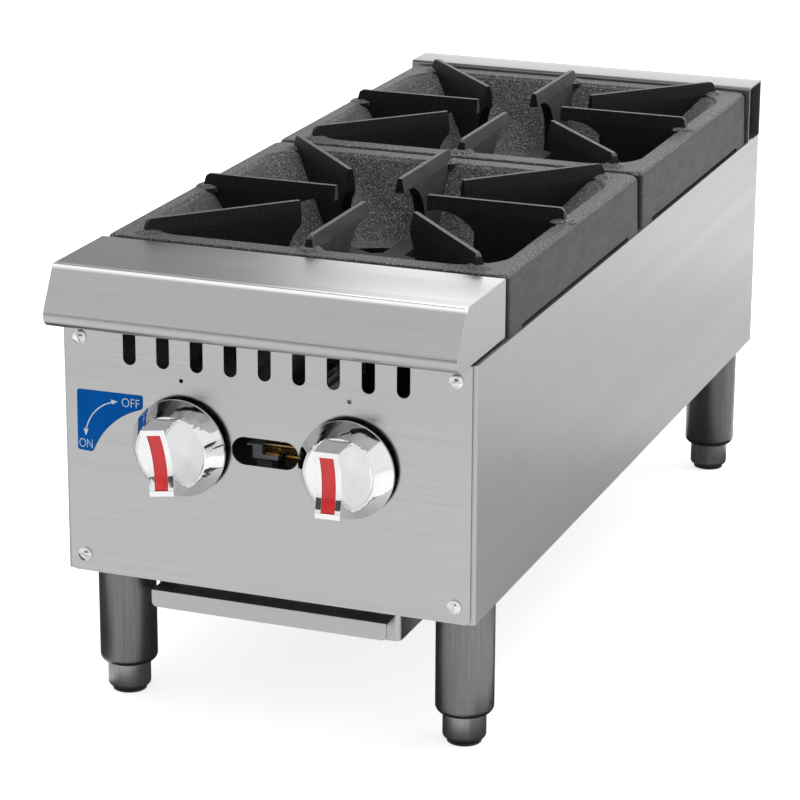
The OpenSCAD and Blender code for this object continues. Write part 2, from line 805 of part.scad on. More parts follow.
module front_burner_casting() {
  color([0.25, 0.24, 0.23]) place() burner_casting(front_grate_y);
}

module back_burner_casting() {
  color([0.25, 0.24, 0.23]) place() mirror([1, 0, 0]) burner_casting(back_grate_y);
}

// Burner bracket: channel across the body that the casting stands on
bracket_lip = 6;

module burner_bracket(y_mid) {
  span = inside_x - fit_gap;
  low_z = chamber_low_z - bracket_lip;
  half = bracket_w / 2;
  difference() {
    box([-span, y_mid - half, low_z], [span, y_mid + half, chamber_low_z]);
    box([-span - eps, y_mid - half + sheet, low_z - eps],
        [span + eps, y_mid + half - sheet, chamber_low_z - sheet]);
  }
}

module front_burner_bracket() {
  color([0.68, 0.68, 0.69]) place() burner_bracket(front_grate_y);
}

module back_burner_bracket() {
  color([0.68, 0.68, 0.69]) place() burner_bracket(back_grate_y);
}

// Orifice: hex spud on the valve's back end
valve_y0 = 18;
valve_y1 = manifold_y + 18;
spud_hex_l = 9;
spud_hex_r = 9;
spud_r = 6;
jet_bore_r = 1.2;
shutter_y = mouth_y - 4;
shutter_t = 2;
shutter_hole_r = 3.6;
spud_y1 = shutter_y + shutter_t + 1.5;

module orifice(s) {
  difference() {
    union() {
      translate([s * knob_x, valve_y1, axis_z])
        rotate([-90, 0, 0]) cylinder(h = spud_hex_l, r = spud_hex_r, $fn = 6);
      rod_y(s * knob_x, axis_z, spud_r, valve_y1, spud_y1);
    }
    rod_y(s * knob_x, axis_z, jet_bore_r, valve_y1 - eps, spud_y1 + eps);
  }
}

module left_orifice() {
  color([0.78, 0.62, 0.32]) place() orifice(-1);
}

module right_orifice() {
  color([0.78, 0.62, 0.32]) place() orifice(1);
}

// Air shutter: slotted disc that turns on the spud in front of the mixing tube's mouth
module air_shutter(s) {
  difference() {
    rod_y(s * knob_x, axis_z, mouth_r, shutter_y, shutter_y + shutter_t);
    rod_y(s * knob_x, axis_z, spud_r + shaft_gap, shutter_y - eps, shutter_y + shutter_t + eps);
    for (a = [0, 90, 180, 270])
      translate([s * knob_x, shutter_y - eps, axis_z]) rotate([-90, 0, 0]) rotate(a)
        translate([mouth_r * 0.62, 0, 0]) cylinder(h = shutter_t + 2 * eps, r = shutter_hole_r);
  }
}

module front_air_shutter() {
  color([0.60, 0.60, 0.58]) place() air_shutter(1);
}

module back_air_shutter() {
  color([0.60, 0.60, 0.58]) place() air_shutter(-1);
}

// Manifold: cross pipe under the valves, drilled for their nipples
nipple_r = 6.5;
pilot_nipple_r = 3.2;
pilot_x = [-8, 8];
stand_x = pan_open_w / 2 + 8;
stand_t = 3;
manifold_end_x = stand_x + stand_t + 7;
pipe_joint = 8;
supply_y0 = manifold_y + pipe_r + pipe_joint;

module manifold_pipe() {
  manifold_l = supply_x + manifold_end_x;
  elbow = [-supply_x, manifold_y, manifold_z];
  color([0.35, 0.34, 0.34]) place() difference() {
    union() {
      translate(elbow) rotate([0, 90, 0]) cylinder(h = manifold_l, r = pipe_r);
      translate(elbow) sphere(pipe_r);
      rod_y(-supply_x, manifold_z, pipe_r, manifold_y, supply_y0);
    }
    translate(elbow) rotate([0, 90, 0]) cylinder(h = manifold_l - pipe_wall, r = pipe_r - pipe_wall);
    rod_y(-supply_x, manifold_z, pipe_r - pipe_wall, manifold_y, supply_y0 + eps);
    for (s = [-1, 1])
      translate([s * knob_x, manifold_y, manifold_z]) cylinder(h = pipe_r + eps, r = nipple_r + fit_gap);
    for (x = pilot_x)
      translate([x, manifold_y, manifold_z]) cylinder(h = pipe_r + eps, r = pilot_nipple_r + fit_gap);
  }
}

// Manifold stands: a saddle plate on the base pan under each end of the manifold
stand_foot = 12;
stand_half_y = pipe_r + 4;

module manifold_stands() {
  y0 = manifold_y - stand_half_y;
  y1 = manifold_y + stand_half_y;
  color([0.68, 0.68, 0.69]) place() for (m = [0, 1]) mirror([m, 0, 0]) difference() {
    union() {
      box([stand_x, y0, plate_z], [stand_x + stand_t, y1, manifold_z]);
      box([stand_x, y0, plate_z], [stand_x + stand_foot, y1, plate_z + sheet]);
    }
    translate([stand_x - eps, manifold_y, manifold_z])
      rotate([0, 90, 0]) cylinder(h = stand_t + 2 * eps, r = pipe_r + fit_gap);
  }
}

// Supply pipe: from the manifold's elbow back to the inlet's coupling
coupling_l = 24;
supply_y1 = back_panel_y - coupling_l;

module supply_pipe() {
  color([0.35, 0.34, 0.34]) place() difference() {
    rod_y(-supply_x, manifold_z, pipe_r, supply_y0, supply_y1);
    rod_y(-supply_x, manifold_z, pipe_r - pipe_wall, supply_y0 - eps, supply_y1 + eps);
  }
}

// Gas inlet: coupling inside the back panel and a pipe end outside it
coupling_r = pipe_r + 4;

module gas_inlet() {
  color([0.40, 0.39, 0.38]) place() difference() {
    union() {
      rod_y(-supply_x, manifold_z, pipe_r, supply_y1, rear_end_y);
      rod_y(-supply_x, manifold_z, coupling_r, supply_y1, back_panel_y);
    }
    rod_y(-supply_x, manifold_z, pipe_r - pipe_wall, supply_y1 - eps, rear_end_y + eps);
  }
}

// Valve: brass body with a nose for the stem and a nipple down to the manifold
nose_r = 7;
nose_y0 = 8;
stem_seat_y = manifold_y - 2;
nipple_seat = 2;
nipple_hex_r = 9.5;
nipple_hex_h = 8;

module valve(s) {
  nipple_z = manifold_z + pipe_r - nipple_seat;
  difference() {
    union() {
      rod_y(s * knob_x, axis_z, valve_r, valve_y0, valve_y1);
      rod_y(s * knob_x, axis_z, nose_r, nose_y0, valve_y0 + eps);
      translate([s * knob_x, manifold_y, nipple_z]) cylinder(h = axis_z - nipple_z, r = nipple_r);
      translate([s * knob_x, manifold_y, nipple_z + nipple_seat + 3])
        cylinder(h = nipple_hex_h, r = nipple_hex_r, $fn = 6);
    }
    rod_y(s * knob_x, axis_z, stem_r + shaft_gap, nose_y0 - eps, stem_seat_y);
  }
}

module left_valve() {
  color([0.76, 0.60, 0.30]) place() valve(-1);
}

module right_valve() {
  color([0.76, 0.60, 0.30]) place() valve(1);
}

// Valve stem: turns in the valve and carries the knob
stem_front_y = -knob_gap - knob_skirt_h;
stem_flat = stem_r * 0.6;

// Puts a form that stands on the panel's plane, with Z away from it, on the left or right knob's axis
module on_left_knob() {
  place() translate([-knob_x, 0, axis_z]) rotate([90, 0, 0]) rotate(left_knob_turn) children();
}

module on_right_knob() {
  place() translate([knob_x, 0, axis_z]) rotate([90, 0, 0]) rotate(right_knob_turn) children();
}

module stem_form() {
  low = -stem_seat_y + run_gap;
  difference() {
    translate([0, 0, low]) cylinder(h = -stem_front_y - low, r = stem_r);
    translate([-stem_r - eps, stem_flat, knob_gap - 3]) cube([2 * (stem_r + eps), stem_r, -stem_front_y]);
  }
}

module left_valve_stem() {
  color([0.72, 0.70, 0.66]) on_left_knob() stem_form();
}

module right_valve_stem() {
  color([0.72, 0.70, 0.66]) on_right_knob() stem_form();
}

// Knob: conical skirt, dished face and a drafted grip bar whose hollow front holds the insert
knob_wall = 3;
knob_hub_r = 9;
face_dish = 4;
face_z = knob_gap + knob_skirt_h;
skirt_edge = 2;
bar_draft = 0.8;
scoop_depth = 4;
scoop_l = bar_l - 2 * bar_lip;
scoop_r = (scoop_l * scoop_l / 4 + pow(scoop_depth - 0.4, 2)) / (2 * (scoop_depth - 0.4));
insert_t = 4;
insert_sink = 0.3;

// Side view of the skirt, with the radius along X and the distance from the panel along Y
module skirt_section() {
  dish_z = face_z - face_dish;
  polygon([[0, dish_z], [knob_face_r - 2, face_z - 1], [knob_face_r - 1, face_z],
           [knob_face_r, face_z - 0.6], [knob_r, knob_gap + skirt_edge], [knob_r, knob_gap],
           [knob_r - knob_wall, knob_gap], [knob_face_r - knob_wall, dish_z - knob_wall],
           [0, dish_z - knob_wall]]);
}

// Shapes from here to the insert stand on the panel's plane with Z away from the panel
module grip_bar() {
  root_z = face_z - face_dish;
  root_l = 2 * knob_face_r - 2;
  root_w = bar_w + 2 * bar_draft;
  intersection() {
    rotate([90, 0, 90]) linear_extrude(root_w, center = true) taper(root_l, root_z, bar_l, bar_reach);
    rotate([90, 0, 0]) linear_extrude(root_l, center = true) taper(root_w, root_z, bar_w, bar_reach);
  }
}

// Hollow along the bar's front, w wide and l long, and sunk further by the third value
module bar_scoop(w, l, deeper) {
  low_z = bar_reach - scoop_depth - deeper;
  intersection() {
    translate([0, 0, low_z]) linear_extrude(scoop_depth + deeper + eps) square([w, l], center = true);
    translate([0, 0, low_z + scoop_r]) rotate([0, 90, 0])
      cylinder(h = w, r = scoop_r, center = true, $fn = 96);
  }
}

module knob_form() {
  difference() {
    union() {
      rotate_extrude() skirt_section();
      grip_bar();
      translate([0, 0, knob_gap]) cylinder(h = knob_skirt_h - face_dish - eps, r = knob_hub_r);
    }
    bar_scoop(bar_w + 2 * (bar_draft + eps), scoop_l, 0);
    bar_scoop(insert_w, scoop_l, insert_t);
    intersection() {
      translate([0, 0, knob_gap - eps]) cylinder(h = knob_skirt_h + eps + fit_gap, r = stem_r + fit_gap);
      translate([-stem_r - eps, -stem_r - eps, knob_gap - eps])
        cube([2 * (stem_r + eps), stem_r + eps + stem_flat + fit_gap, knob_skirt_h + 2 * eps]);
    }
  }
}

module insert_form() {
  l = scoop_l - 2 * fit_gap;
  difference() {
    bar_scoop(insert_w - 2 * fit_gap, l, insert_t - fit_gap);
    bar_scoop(insert_w + eps, l + eps, insert_sink);
  }
}

module left_knob() {
  color([0.86, 0.87, 0.88]) on_left_knob() knob_form();
}

module right_knob() {
  color([0.86, 0.87, 0.88]) on_right_knob() knob_form();
}

module left_knob_insert() {
  color([0.80, 0.13, 0.13]) on_left_knob() insert_form();
}

module right_knob_insert() {
  color([0.80, 0.13, 0.13]) on_right_knob() insert_form();
}

// Pilot valves: two small brass regulators on the manifold, joined by a cross tube
pilot_valve_r = 5;
pilot_z = axis_z - 9;
pilot_y0 = manifold_y - 18;
pilot_y1 = manifold_y + 9;
pilot_hex_l = 6;
pilot_hex_r = pilot_valve_r + 1.2;
pilot_slot_w = 1.2;
pilot_seat = 5;
cross_r = 2;
cross_z = pilot_z + pilot_valve_r + cross_r - 0.5;
cross_l = 26;

module pilot_valves() {
  nipple_z = manifold_z + pipe_r - nipple_seat;
  color([0.76, 0.60, 0.30]) place() difference() {
    union() {
      for (x = pilot_x) {
        rod_y(x, pilot_z, pilot_valve_r, pilot_y0, pilot_y1);
        translate([x, pilot_y0 + 5, pilot_z])
          rotate([-90, 0, 0]) cylinder(h = pilot_hex_l, r = pilot_hex_r, $fn = 6);
        translate([x, manifold_y, nipple_z]) cylinder(h = pilot_z - nipple_z, r = pilot_nipple_r);
      }
      translate([pilot_x[0] - pilot_valve_r, pilot_y0 + cross_r, cross_z])
        rotate([0, 90, 0]) cylinder(h = cross_l, r = cross_r);
    }
    for (x = pilot_x) {
      box([x - pilot_valve_r, pilot_y0 - eps, pilot_z - pilot_slot_w / 2],
          [x + pilot_valve_r, pilot_y0 + 1.5, pilot_z + pilot_slot_w / 2]);
      rod_y(x, pilot_z, pilot_r + fit_gap, pilot_y1 - pilot_seat, pilot_y1 + eps);
    }
  }
}

// Pilot bracket: folded strip on the manifold beside the pilot valves
bracket_x0 = -21;
bracket_strip = 7;
bracket_y0 = manifold_y - 21;
bracket_y1 = manifold_y - 3;
bracket_t = 1.2;
bracket_top_z = axis_z - 2;
bracket_tab_z = axis_z - 12;
bracket_tab_l = 12;

module pilot_bracket() {
  rest_z = manifold_z + sqrt(pipe_r * pipe_r - pow(manifold_y - bracket_y1 - bracket_t, 2)) + run_gap;
  x1 = bracket_x0 + bracket_strip;
  front_y = bracket_y0 + bracket_t;
  color([0.52, 0.55, 0.60]) place() {
    box([bracket_x0, bracket_y0, bracket_tab_z], [x1, front_y, bracket_top_z]);
    box([bracket_x0, bracket_y0, bracket_tab_z], [x1 + bracket_tab_l, front_y, bracket_tab_z + 3]);
    box([bracket_x0 - 4, bracket_y0, bracket_top_z - bracket_t], [x1, bracket_y1, bracket_top_z]);
    box([bracket_x0 - 4, bracket_y1 - bracket_t, rest_z], [x1, bracket_y1, bracket_top_z]);
  }
}

// Tube through a list of points, with a slightly swollen bend at each of them
module tube_run(points, r) {
  for (i = [0 : len(points) - 2]) {
    d = points[i + 1] - points[i];
    translate(points[i]) rotate([0, acos(d[2] / norm(d)), atan2(d[1], d[0])])
      cylinder(h = norm(d), r = r);
  }
  for (i = [1 : len(points) - 2]) translate(points[i]) sphere(r + 0.4);
}

// Pilot burner: upright jet beside the head, in the bowl's opening
jet_r = 4;
jet_out = bowl_hole_r - 6.5;
jet_top_z = head_top_z - 4;
jet_low_z = axis_z + 18;
jet_x = 10;
jet_seat = 6;
jet_hex_r = 6;
jet_hex_h = 8;
tube_lead = 20;
tube_offset = 6;
tube_rise = 8;
tube_pass = 60;

module pilot_burner(s, y_mid) {
  color([0.62, 0.60, 0.56]) place() translate([s * jet_x, y_mid - jet_out, 0]) difference() {
    union() {
      translate([0, 0, jet_low_z]) cylinder(h = jet_top_z - jet_low_z, r = jet_r);
      translate([0, 0, jet_low_z]) cylinder(h = jet_hex_h, r = jet_hex_r, $fn = 6);
    }
    translate([0, 0, jet_low_z - eps]) cylinder(h = jet_seat + eps, r = pilot_r + fit_gap);
    translate([0, 0, jet_top_z - 6]) cylinder(h = 6 + eps, r = jet_r - 1.4);
  }
}

module front_pilot_burner() {
  pilot_burner(1, front_grate_y);
}

module back_pilot_burner() {
  pilot_burner(-1, back_grate_y);
}

// First two points of a pilot tube, in a pilot valve's seat at x and straight behind it
function tube_start(x) = [[x, pilot_y1 - pilot_seat, pilot_z], [x, pilot_y1 + tube_lead, pilot_z]];

// Last three points of a pilot tube, up into the jet at x beside the burner at y_mid
function tube_end(x, y_mid) =
  let (y = y_mid - jet_out)
  [[x, y - tube_offset, jet_low_z - 2 * tube_rise], [x, y, jet_low_z - tube_rise],
   [x, y, jet_low_z + jet_seat]];

module front_pilot_tube() {
  color([0.75, 0.75, 0.76]) place()
    tube_run(concat(tube_start(pilot_x[1]), tube_end(jet_x, front_grate_y)), pilot_r);
}

// This one passes between the front burner's chamber and the back burner's mixing tube
module back_pilot_tube() {
  pass_x = -(knob_x - mixer_r + chamber_r) / 2;
  pass = [for (s = [-1, 1]) [pass_x, front_grate_y + s * tube_pass, pilot_z]];
  color([0.75, 0.75, 0.76]) place()
    tube_run(concat(tube_start(pilot_x[0]), pass, tube_end(-jet_x, back_grate_y)), pilot_r);
}

// Leg: tube with a rounded lower shoulder, a closed top and a fixing stud
collar_h = 22;
guide_r = foot_r + shaft_gap;
shoulder_r = min(5, leg_r - guide_r - 0.2);
cap_h = 3;
stud_l = 16;

module leg() {
  top = leg_total;
  rotate_extrude() {
    translate([leg_r - leg_wall, foot_h + collar_h]) square([leg_wall, top - foot_h - collar_h]);
    difference() {
      union() {
        translate([guide_r, foot_h]) square([leg_r - shoulder_r - guide_r, collar_h]);
        translate([guide_r, foot_h + shoulder_r]) square([leg_r - guide_r, collar_h - shoulder_r]);
        translate([leg_r - shoulder_r, foot_h + shoulder_r]) circle(shoulder_r);
      }
      translate([0, foot_h]) square([guide_r, collar_h]);
    }
    translate([0, top - cap_h]) square([leg_r, cap_h]);
  }
  translate([0, 0, top - eps]) cylinder(h = stud_l + eps, r = stud_r);
}

// Foot: bullet-shaped post that slides in the leg's collar
foot_edge_r = 3;

module foot() {
  post_h = foot_h + collar_h + foot_travel + 4;
  edge_z = pad_h + foot_edge_r;
  rotate_extrude() {
    translate([0, pad_h]) square([foot_r - foot_edge_r, post_h - pad_h]);
    translate([0, edge_z]) square([foot_r, post_h - edge_z]);
    translate([foot_r - foot_edge_r, edge_z]) circle(foot_edge_r);
  }
}

module pad() {
  cylinder(h = pad_h, r = foot_r - foot_edge_r - 0.2);
}

module at_leg(sx, back) {
  place() translate([sx * leg_x, leg_rows[back ? 1 : 0], 0]) children();
}

module leg_front_left() { color([0.42, 0.42, 0.41]) at_leg(-1, false) leg(); }
module leg_front_right() { color([0.42, 0.42, 0.41]) at_leg(1, false) leg(); }
module leg_back_left() { color([0.42, 0.42, 0.41]) at_leg(-1, true) leg(); }
module leg_back_right() { color([0.42, 0.42, 0.41]) at_leg(1, true) leg(); }
module foot_front_left() { color([0.38, 0.38, 0.37]) at_leg(-1, false) foot(); }
module foot_front_right() { color([0.38, 0.38, 0.37]) at_leg(1, false) foot(); }
module foot_back_left() { color([0.38, 0.38, 0.37]) at_leg(-1, true) foot(); }
module foot_back_right() { color([0.38, 0.38, 0.37]) at_leg(1, true) foot(); }
module pad_front_left() { color([0.06, 0.06, 0.06]) at_leg(-1, false) pad(); }
module pad_front_right() { color([0.06, 0.06, 0.06]) at_leg(1, false) pad(); }
module pad_back_left() { color([0.06, 0.06, 0.06]) at_leg(-1, true) pad(); }
module pad_back_right() { color([0.06, 0.06, 0.06]) at_leg(1, true) pad(); }

// Leg fixings on the base pan: a stiffening plate and a nut over each leg
plate_t = 3;
plate_half_x = inside_x - leg_x - 0.5;
plate_half_y = 28;
nut_r = 9;
nut_h = 8;

module leg_plates() {
  color([0.55, 0.55, 0.56]) for (sx = [-1, 1]) for (back = [false, true]) at_leg(sx, back)
    translate([0, 0, plate_z]) difference() {
      translate([-plate_half_x, -plate_half_y, 0]) cube([2 * plate_half_x, 2 * plate_half_y, plate_t]);
      translate([0, 0, -eps]) cylinder(h = plate_t + 2 * eps, r = stud_r + fit_gap);
    }
}

module leg_nuts() {
  color([0.70, 0.70, 0.70]) for (sx = [-1, 1]) for (back = [false, true]) at_leg(sx, back)
    translate([0, 0, plate_z + plate_t]) difference() {
      cylinder(h = nut_h, r = nut_r, $fn = 6);
      translate([0, 0, -eps]) cylinder(h = nut_h + 2 * eps, r = stud_r + fit_gap);
    }
}

// Slotted screw along Y: domed head in front of head_y, shank behind it, and its slot turned by an angle
screw_head_r = 5;
screw_head_h = 2.6;
screw_dome_r = 9;
slot_cut_w = 1.2;
slot_cut_h = 1.5;
panel_screw_l = 10;
back_screw_l = 9;
back_screw_turn = 40;

module slotted_screw(head_y, inward, turn) {
  crown_y = head_y - screw_head_h;
  difference() {
    union() {
      intersection() {
        rod_y(0, 0, screw_head_r, crown_y, head_y);
        translate([0, crown_y + screw_dome_r, 0]) sphere(screw_dome_r);
      }
      rod_y(0, 0, screw_shank_r, head_y - eps, head_y + inward);
    }
    rotate([0, -turn, 0])
      box([-screw_head_r - eps, crown_y - eps, -slot_cut_w / 2],
          [screw_head_r + eps, crown_y + slot_cut_h, slot_cut_w / 2]);
  }
}

// Turns of the slots as the screws were left, low then high, at the left and then at the right
slot_turns = [[-11, 113], [90, 2]];

module panel_screws() {
  color([0.80, 0.80, 0.78]) place() for (i = [0, 1]) for (j = [0, 1])
    translate([(2 * i - 1) * panel_screw_x, 0, panel_screw_z[j]])
      slotted_screw(panel_y, panel_screw_l, slot_turns[i][j]);
}

module back_screws() {
  color([0.80, 0.80, 0.78]) place() for (s = [-1, 1]) for (z = back_screw_z)
    translate([s * back_screw_x, back_y, z]) mirror([0, 1, 0]) slotted_screw(0, back_screw_l, s * back_screw_turn);
}

front_panel();
left_side_panel();
right_side_panel();
back_panel();
base_pan();
front_rail();
back_riser();
left_tray_runner();
right_tray_runner();
drip_tray();
front_grate();
back_grate();
front_burner_head();
back_burner_head();
front_burner_casting();
back_burner_casting();
front_burner_bracket();
back_burner_bracket();
front_air_shutter();
back_air_shutter();
manifold_pipe();
manifold_stands();
supply_pipe();
gas_inlet();
left_valve();
right_valve();
left_orifice();
right_orifice();
left_valve_stem();
right_valve_stem();
left_knob();
right_knob();
left_knob_insert();
right_knob_insert();
pilot_valves();
pilot_bracket();
front_pilot_tube();
back_pilot_tube();
front_pilot_burner();
back_pilot_burner();
leg_front_left();
leg_front_right();
leg_back_left();
leg_back_right();
foot_front_left();
foot_front_right();
foot_back_left();
foot_back_right();
pad_front_left();
pad_front_right();
pad_back_left();
pad_back_right();
leg_plates();
leg_nuts();
panel_screws();
back_screws();
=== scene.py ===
"""Countertop gas hotplate: the finishes, index plate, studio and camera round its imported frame.

Metres, in the frame's own axes: X to the cook's right, Y towards the back, Z up from the table.
"""

import math

import bmesh
import bpy
from bpy.props import FloatProperty, FloatVectorProperty, PointerProperty
from bpy.types import Operator, Panel, PropertyGroup
from mathutils import Matrix, Vector


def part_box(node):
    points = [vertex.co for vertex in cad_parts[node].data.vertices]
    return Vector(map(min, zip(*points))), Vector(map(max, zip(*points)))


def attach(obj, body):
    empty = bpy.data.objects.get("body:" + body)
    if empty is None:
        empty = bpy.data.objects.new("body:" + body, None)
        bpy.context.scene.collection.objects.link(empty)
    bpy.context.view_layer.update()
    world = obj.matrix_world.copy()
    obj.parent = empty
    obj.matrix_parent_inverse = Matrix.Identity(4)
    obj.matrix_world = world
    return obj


bl_info = {
    "name": "Countertop gas hotplate",
    "version": (1, 0, 0),
    "blender": (4, 5, 0),
    "location": "3D View > Sidebar > Hotplate",
    "description": "Finishes for a two-burner countertop gas hotplate on its packed frame",
    "category": "Object",
}

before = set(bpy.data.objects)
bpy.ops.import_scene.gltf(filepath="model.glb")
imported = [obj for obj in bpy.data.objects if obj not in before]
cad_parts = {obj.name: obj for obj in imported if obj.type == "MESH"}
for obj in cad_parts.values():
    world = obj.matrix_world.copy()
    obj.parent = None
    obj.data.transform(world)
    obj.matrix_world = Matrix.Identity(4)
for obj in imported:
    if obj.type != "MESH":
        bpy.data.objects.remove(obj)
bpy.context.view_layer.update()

PANEL_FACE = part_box("front_panel")[0].y
SIDES = ("left", "right")
ENDS = ("front", "back")
LEGS = ("front_left", "front_right", "back_left", "back_right")

# How many scratches and soft streaks fit in a metre of brushed sheet along its grain
SCRATCHES_ALONG = 5.0
STREAKS_ALONG = 0.9

# The range that noise seldom leaves
NOISE_LOW = 0.3
NOISE_HIGH = 0.7

# Depths of a surface's relief, in metres
SCRATCH_DEPTH = 0.00004
TEXTURE_DEPTH = 0.00002
SWELL_DEPTH = 0.0002

# How near corners are merged, in metres, and how level faces are joined, in degrees, before rounding
MERGE_WITHIN = 1e-6
LEVEL_WITHIN = 0.3

# A new piece's faces are listed along this direction, because an extrusion lists its sides in any order
FACE_ORDER = Vector((1.0, 0.7, 0.3))

WHITE = (1.0, 1.0, 1.0, 1.0)
BLACK = (0.0, 0.0, 0.0, 1.0)


def length(label, text, default, most):
    """A size in metres for the sidebar."""
    return FloatProperty(
        name=label, description=text, default=default, min=0.0, max=most, unit="LENGTH", precision=5
    )


def colour(label, text, default):
    """A finish's own colour for the sidebar."""
    return FloatVectorProperty(
        name=label, description=text, default=default, size=3, min=0.0, max=1.0, subtype="COLOR"
    )


class HotplateSizes(PropertyGroup):
    """Sizes of the details that are finished here."""

    sheet_edge: length("Sheet edge", "Rounding of the cut edges of the panels", 0.0004, 0.0007)
    rail_edge: length("Rail edge", "Rounding of the front rail's edges", 0.0007, 0.003)
    # The rail's painted highlight: a paler band painted along its top fold, in place of the light that
    # the fold catches
    rail_highlight_near: length("Rail highlight, full", "How far the full painted highlight reaches from the fold", 0.0014, 0.004)
    rail_highlight_far: length("Rail highlight, end", "How far from the fold the painted highlight ends", 0.0042, 0.01)
    casting_edge: length("Casting edge", "Rounding of the iron castings' edges", 0.0011, 0.003)
    knob_edge: length("Knob edge", "Rounding of the knobs' edges", 0.0006, 0.0015)
    insert_edge: length("Insert edge", "Rounding of the knobs' coloured strips", 0.0005, 0.001)
    plate_thickness: length("Plate thickness", "Thickness of the index plate", 0.0004, 0.001)
    plate_corner: length("Plate corner", "Corner radius of the index plate", 0.0018, 0.004)
    plate_border: length("Plate border", "Width of the pale line round the index plate", 0.0005, 0.002)
    arrow_line: length("Arrow line", "Width of the curved arrow's line", 0.0009, 0.002)
    print_height: length("Print height", "Height of the words and arrow on the plate", 0.00006, 0.0002)


class HotplateColours(PropertyGroup):
    """Colours of the finishes."""

    panel_steel: colour("Brushed steel", "Front panel, rail and tray", (0.435, 0.435, 0.44))
    side_steel: colour("Side steel", "Side panels", (0.42, 0.42, 0.425))
    riser_steel: colour("Riser steel", "Back riser", (0.255, 0.255, 0.26))
    inner_steel: colour("Inner steel", "Galvanised sheet inside the body", (0.46, 0.47, 0.49))
    leg_steel: colour("Leg steel", "Legs", (0.185, 0.185, 0.183))
    foot_steel: colour("Foot steel", "Adjustable feet", (0.42, 0.42, 0.418))
    pad_rubber: colour("Pad rubber", "Pads under the feet", (0.008, 0.008, 0.008))
    screw_plate: colour("Screw plating", "Screws and nuts", (0.74, 0.74, 0.73))
    iron: colour("Grate iron", "Cast grates", (0.0045, 0.0045, 0.0047))
    burner_iron: colour("Burner iron", "Burner heads and castings", (0.011, 0.011, 0.0115))
    shutter_zinc: colour("Shutter zinc", "Air shutters", (0.5, 0.5, 0.48))
    chrome: colour("Chrome", "Knobs", (0.80, 0.805, 0.81))
    # Painted shade: the knobs' backs, which face the panel, are painted near black in place of the
    # shadow there
    knob_back_shade: colour("Knob back shade", "Painted shade on the backs of the knobs", (0.012, 0.012, 0.012))
    insert: colour("Knob insert", "Coloured strip in each knob", (0.96, 0.044, 0.046))
    brass: colour("Brass", "Valves and jets", (0.70, 0.48, 0.20))
    tube: colour("Drawn tube", "Pilot tubes, pilot burners and valve stems", (0.62, 0.62, 0.64))
    pipe: colour("Pipe paint", "Manifold, supply pipe and gas inlet", (0.012, 0.012, 0.013))
    bracket: colour("Bracket enamel", "Pilot bracket", (0.74, 0.78, 0.84))
    plate: colour("Index plate", "Plate beside the left knob", (0.001, 0.125, 0.520))
    print: colour("Print", "Words and arrow on the index plate", (0.80, 0.84, 0.88))


def new_finish(name, roughness, metallic=0.0):
    """An empty material with one shader, ready for its pattern."""
    material = bpy.data.materials.new(name)
    material.use_nodes = True
    tree = material.node_tree
    shader = tree.nodes["Principled BSDF"]
    shader.inputs["Roughness"].default_value = roughness
    shader.inputs["Metallic"].default_value = metallic
    return material, tree, shader


def operation(tree, kind, task, *values):
    """A Math or VectorMath node; a value that is a socket is linked, and a constant is set."""
    node = tree.nodes.new(kind)
    node.operation = task
    for socket, value in zip(node.inputs, values):
        if isinstance(value, bpy.types.NodeSocket):
            tree.links.new(value, socket)
        else:
            socket.default_value = value
    return node


def mathematics(tree, task, *values):
    """The result of a Math node."""
    return operation(tree, "ShaderNodeMath", task, *values).outputs["Value"]


def scaled(tree, value, factor):
    """A colour or vector times a factor that varies over the surface."""
    node = operation(tree, "ShaderNodeVectorMath", "SCALE", value)
    tree.links.new(factor, node.inputs["Scale"])
    return node.outputs["Vector"]


def mixed(tree, factor, first, second):
    """Two colours, from the first to the second as the factor goes from 0 to 1."""
    node = tree.nodes.new("ShaderNodeMix")
    node.data_type = "RGBA"
    tree.links.new(factor, node.inputs["Factor"])
    tree.links.new(first, node.inputs["A"])
    if isinstance(second, bpy.types.NodeSocket):
        tree.links.new(second, node.inputs["B"])
    else:
        node.inputs["B"].default_value = second
    return node.outputs["Result"]


def spread(tree, value, start, end, low, high, curve="LINEAR"):
    """Goes from low to high as a value goes from start to end, and no further."""
    node = tree.nodes.new("ShaderNodeMapRange")
    node.interpolation_type = curve
    for socket, number in (("From Min", start), ("From Max", end), ("To Min", low), ("To Max", high)):
        node.inputs[socket].default_value = number
    tree.links.new(value, node.inputs["Value"])
    return node.outputs["Result"]


def pattern(tree, stretch, detail=3.0, roughness=0.5):
    """Noise on the piece's own coordinates; stretch is the grains in a metre along each axis."""
    place = tree.nodes.new("ShaderNodeTexCoord")
    scale = tree.nodes.new("ShaderNodeMapping")
    scale.inputs["Scale"].default_value = stretch
    noise = tree.nodes.new("ShaderNodeTexNoise")
    noise.inputs["Scale"].default_value = 1.0
    noise.inputs["Detail"].default_value = detail
    noise.inputs["Roughness"].default_value = roughness
    tree.links.new(place.outputs["Object"], scale.inputs["Vector"])
    tree.links.new(scale.outputs["Vector"], noise.inputs["Vector"])
    return noise.outputs["Fac"]


def even(per_metre):
    """Grains of the same size along every axis."""
    return (per_metre,) * 3


def grained(axis, along, across):
    """Grains that run along one axis."""
    return tuple(along if name == axis else across for name in "XYZ")


def tones(tree, value, tone, low, high, start=NOISE_LOW, end=NOISE_HIGH):
    """A ramp between low and high times a tone, as a value goes from start to end."""
    ramp = tree.nodes.new("ShaderNodeValToRGB")
    first, last = ramp.color_ramp.elements
    first.position, last.position = start, end
    first.color = (*(c * low for c in tone), 1.0)
    last.color = (*(min(1.0, c * high) for c in tone), 1.0)
    tree.links.new(value, ramp.inputs["Fac"])
    return ramp


def shade(tree, shader, value, tone, low, high, start=NOISE_LOW, end=NOISE_HIGH):
    """Colours the shader between low and high times its tone."""
    ramp = tones(tree, value, tone, low, high, start, end)
    tree.links.new(ramp.outputs["Color"], shader.inputs["Base Color"])


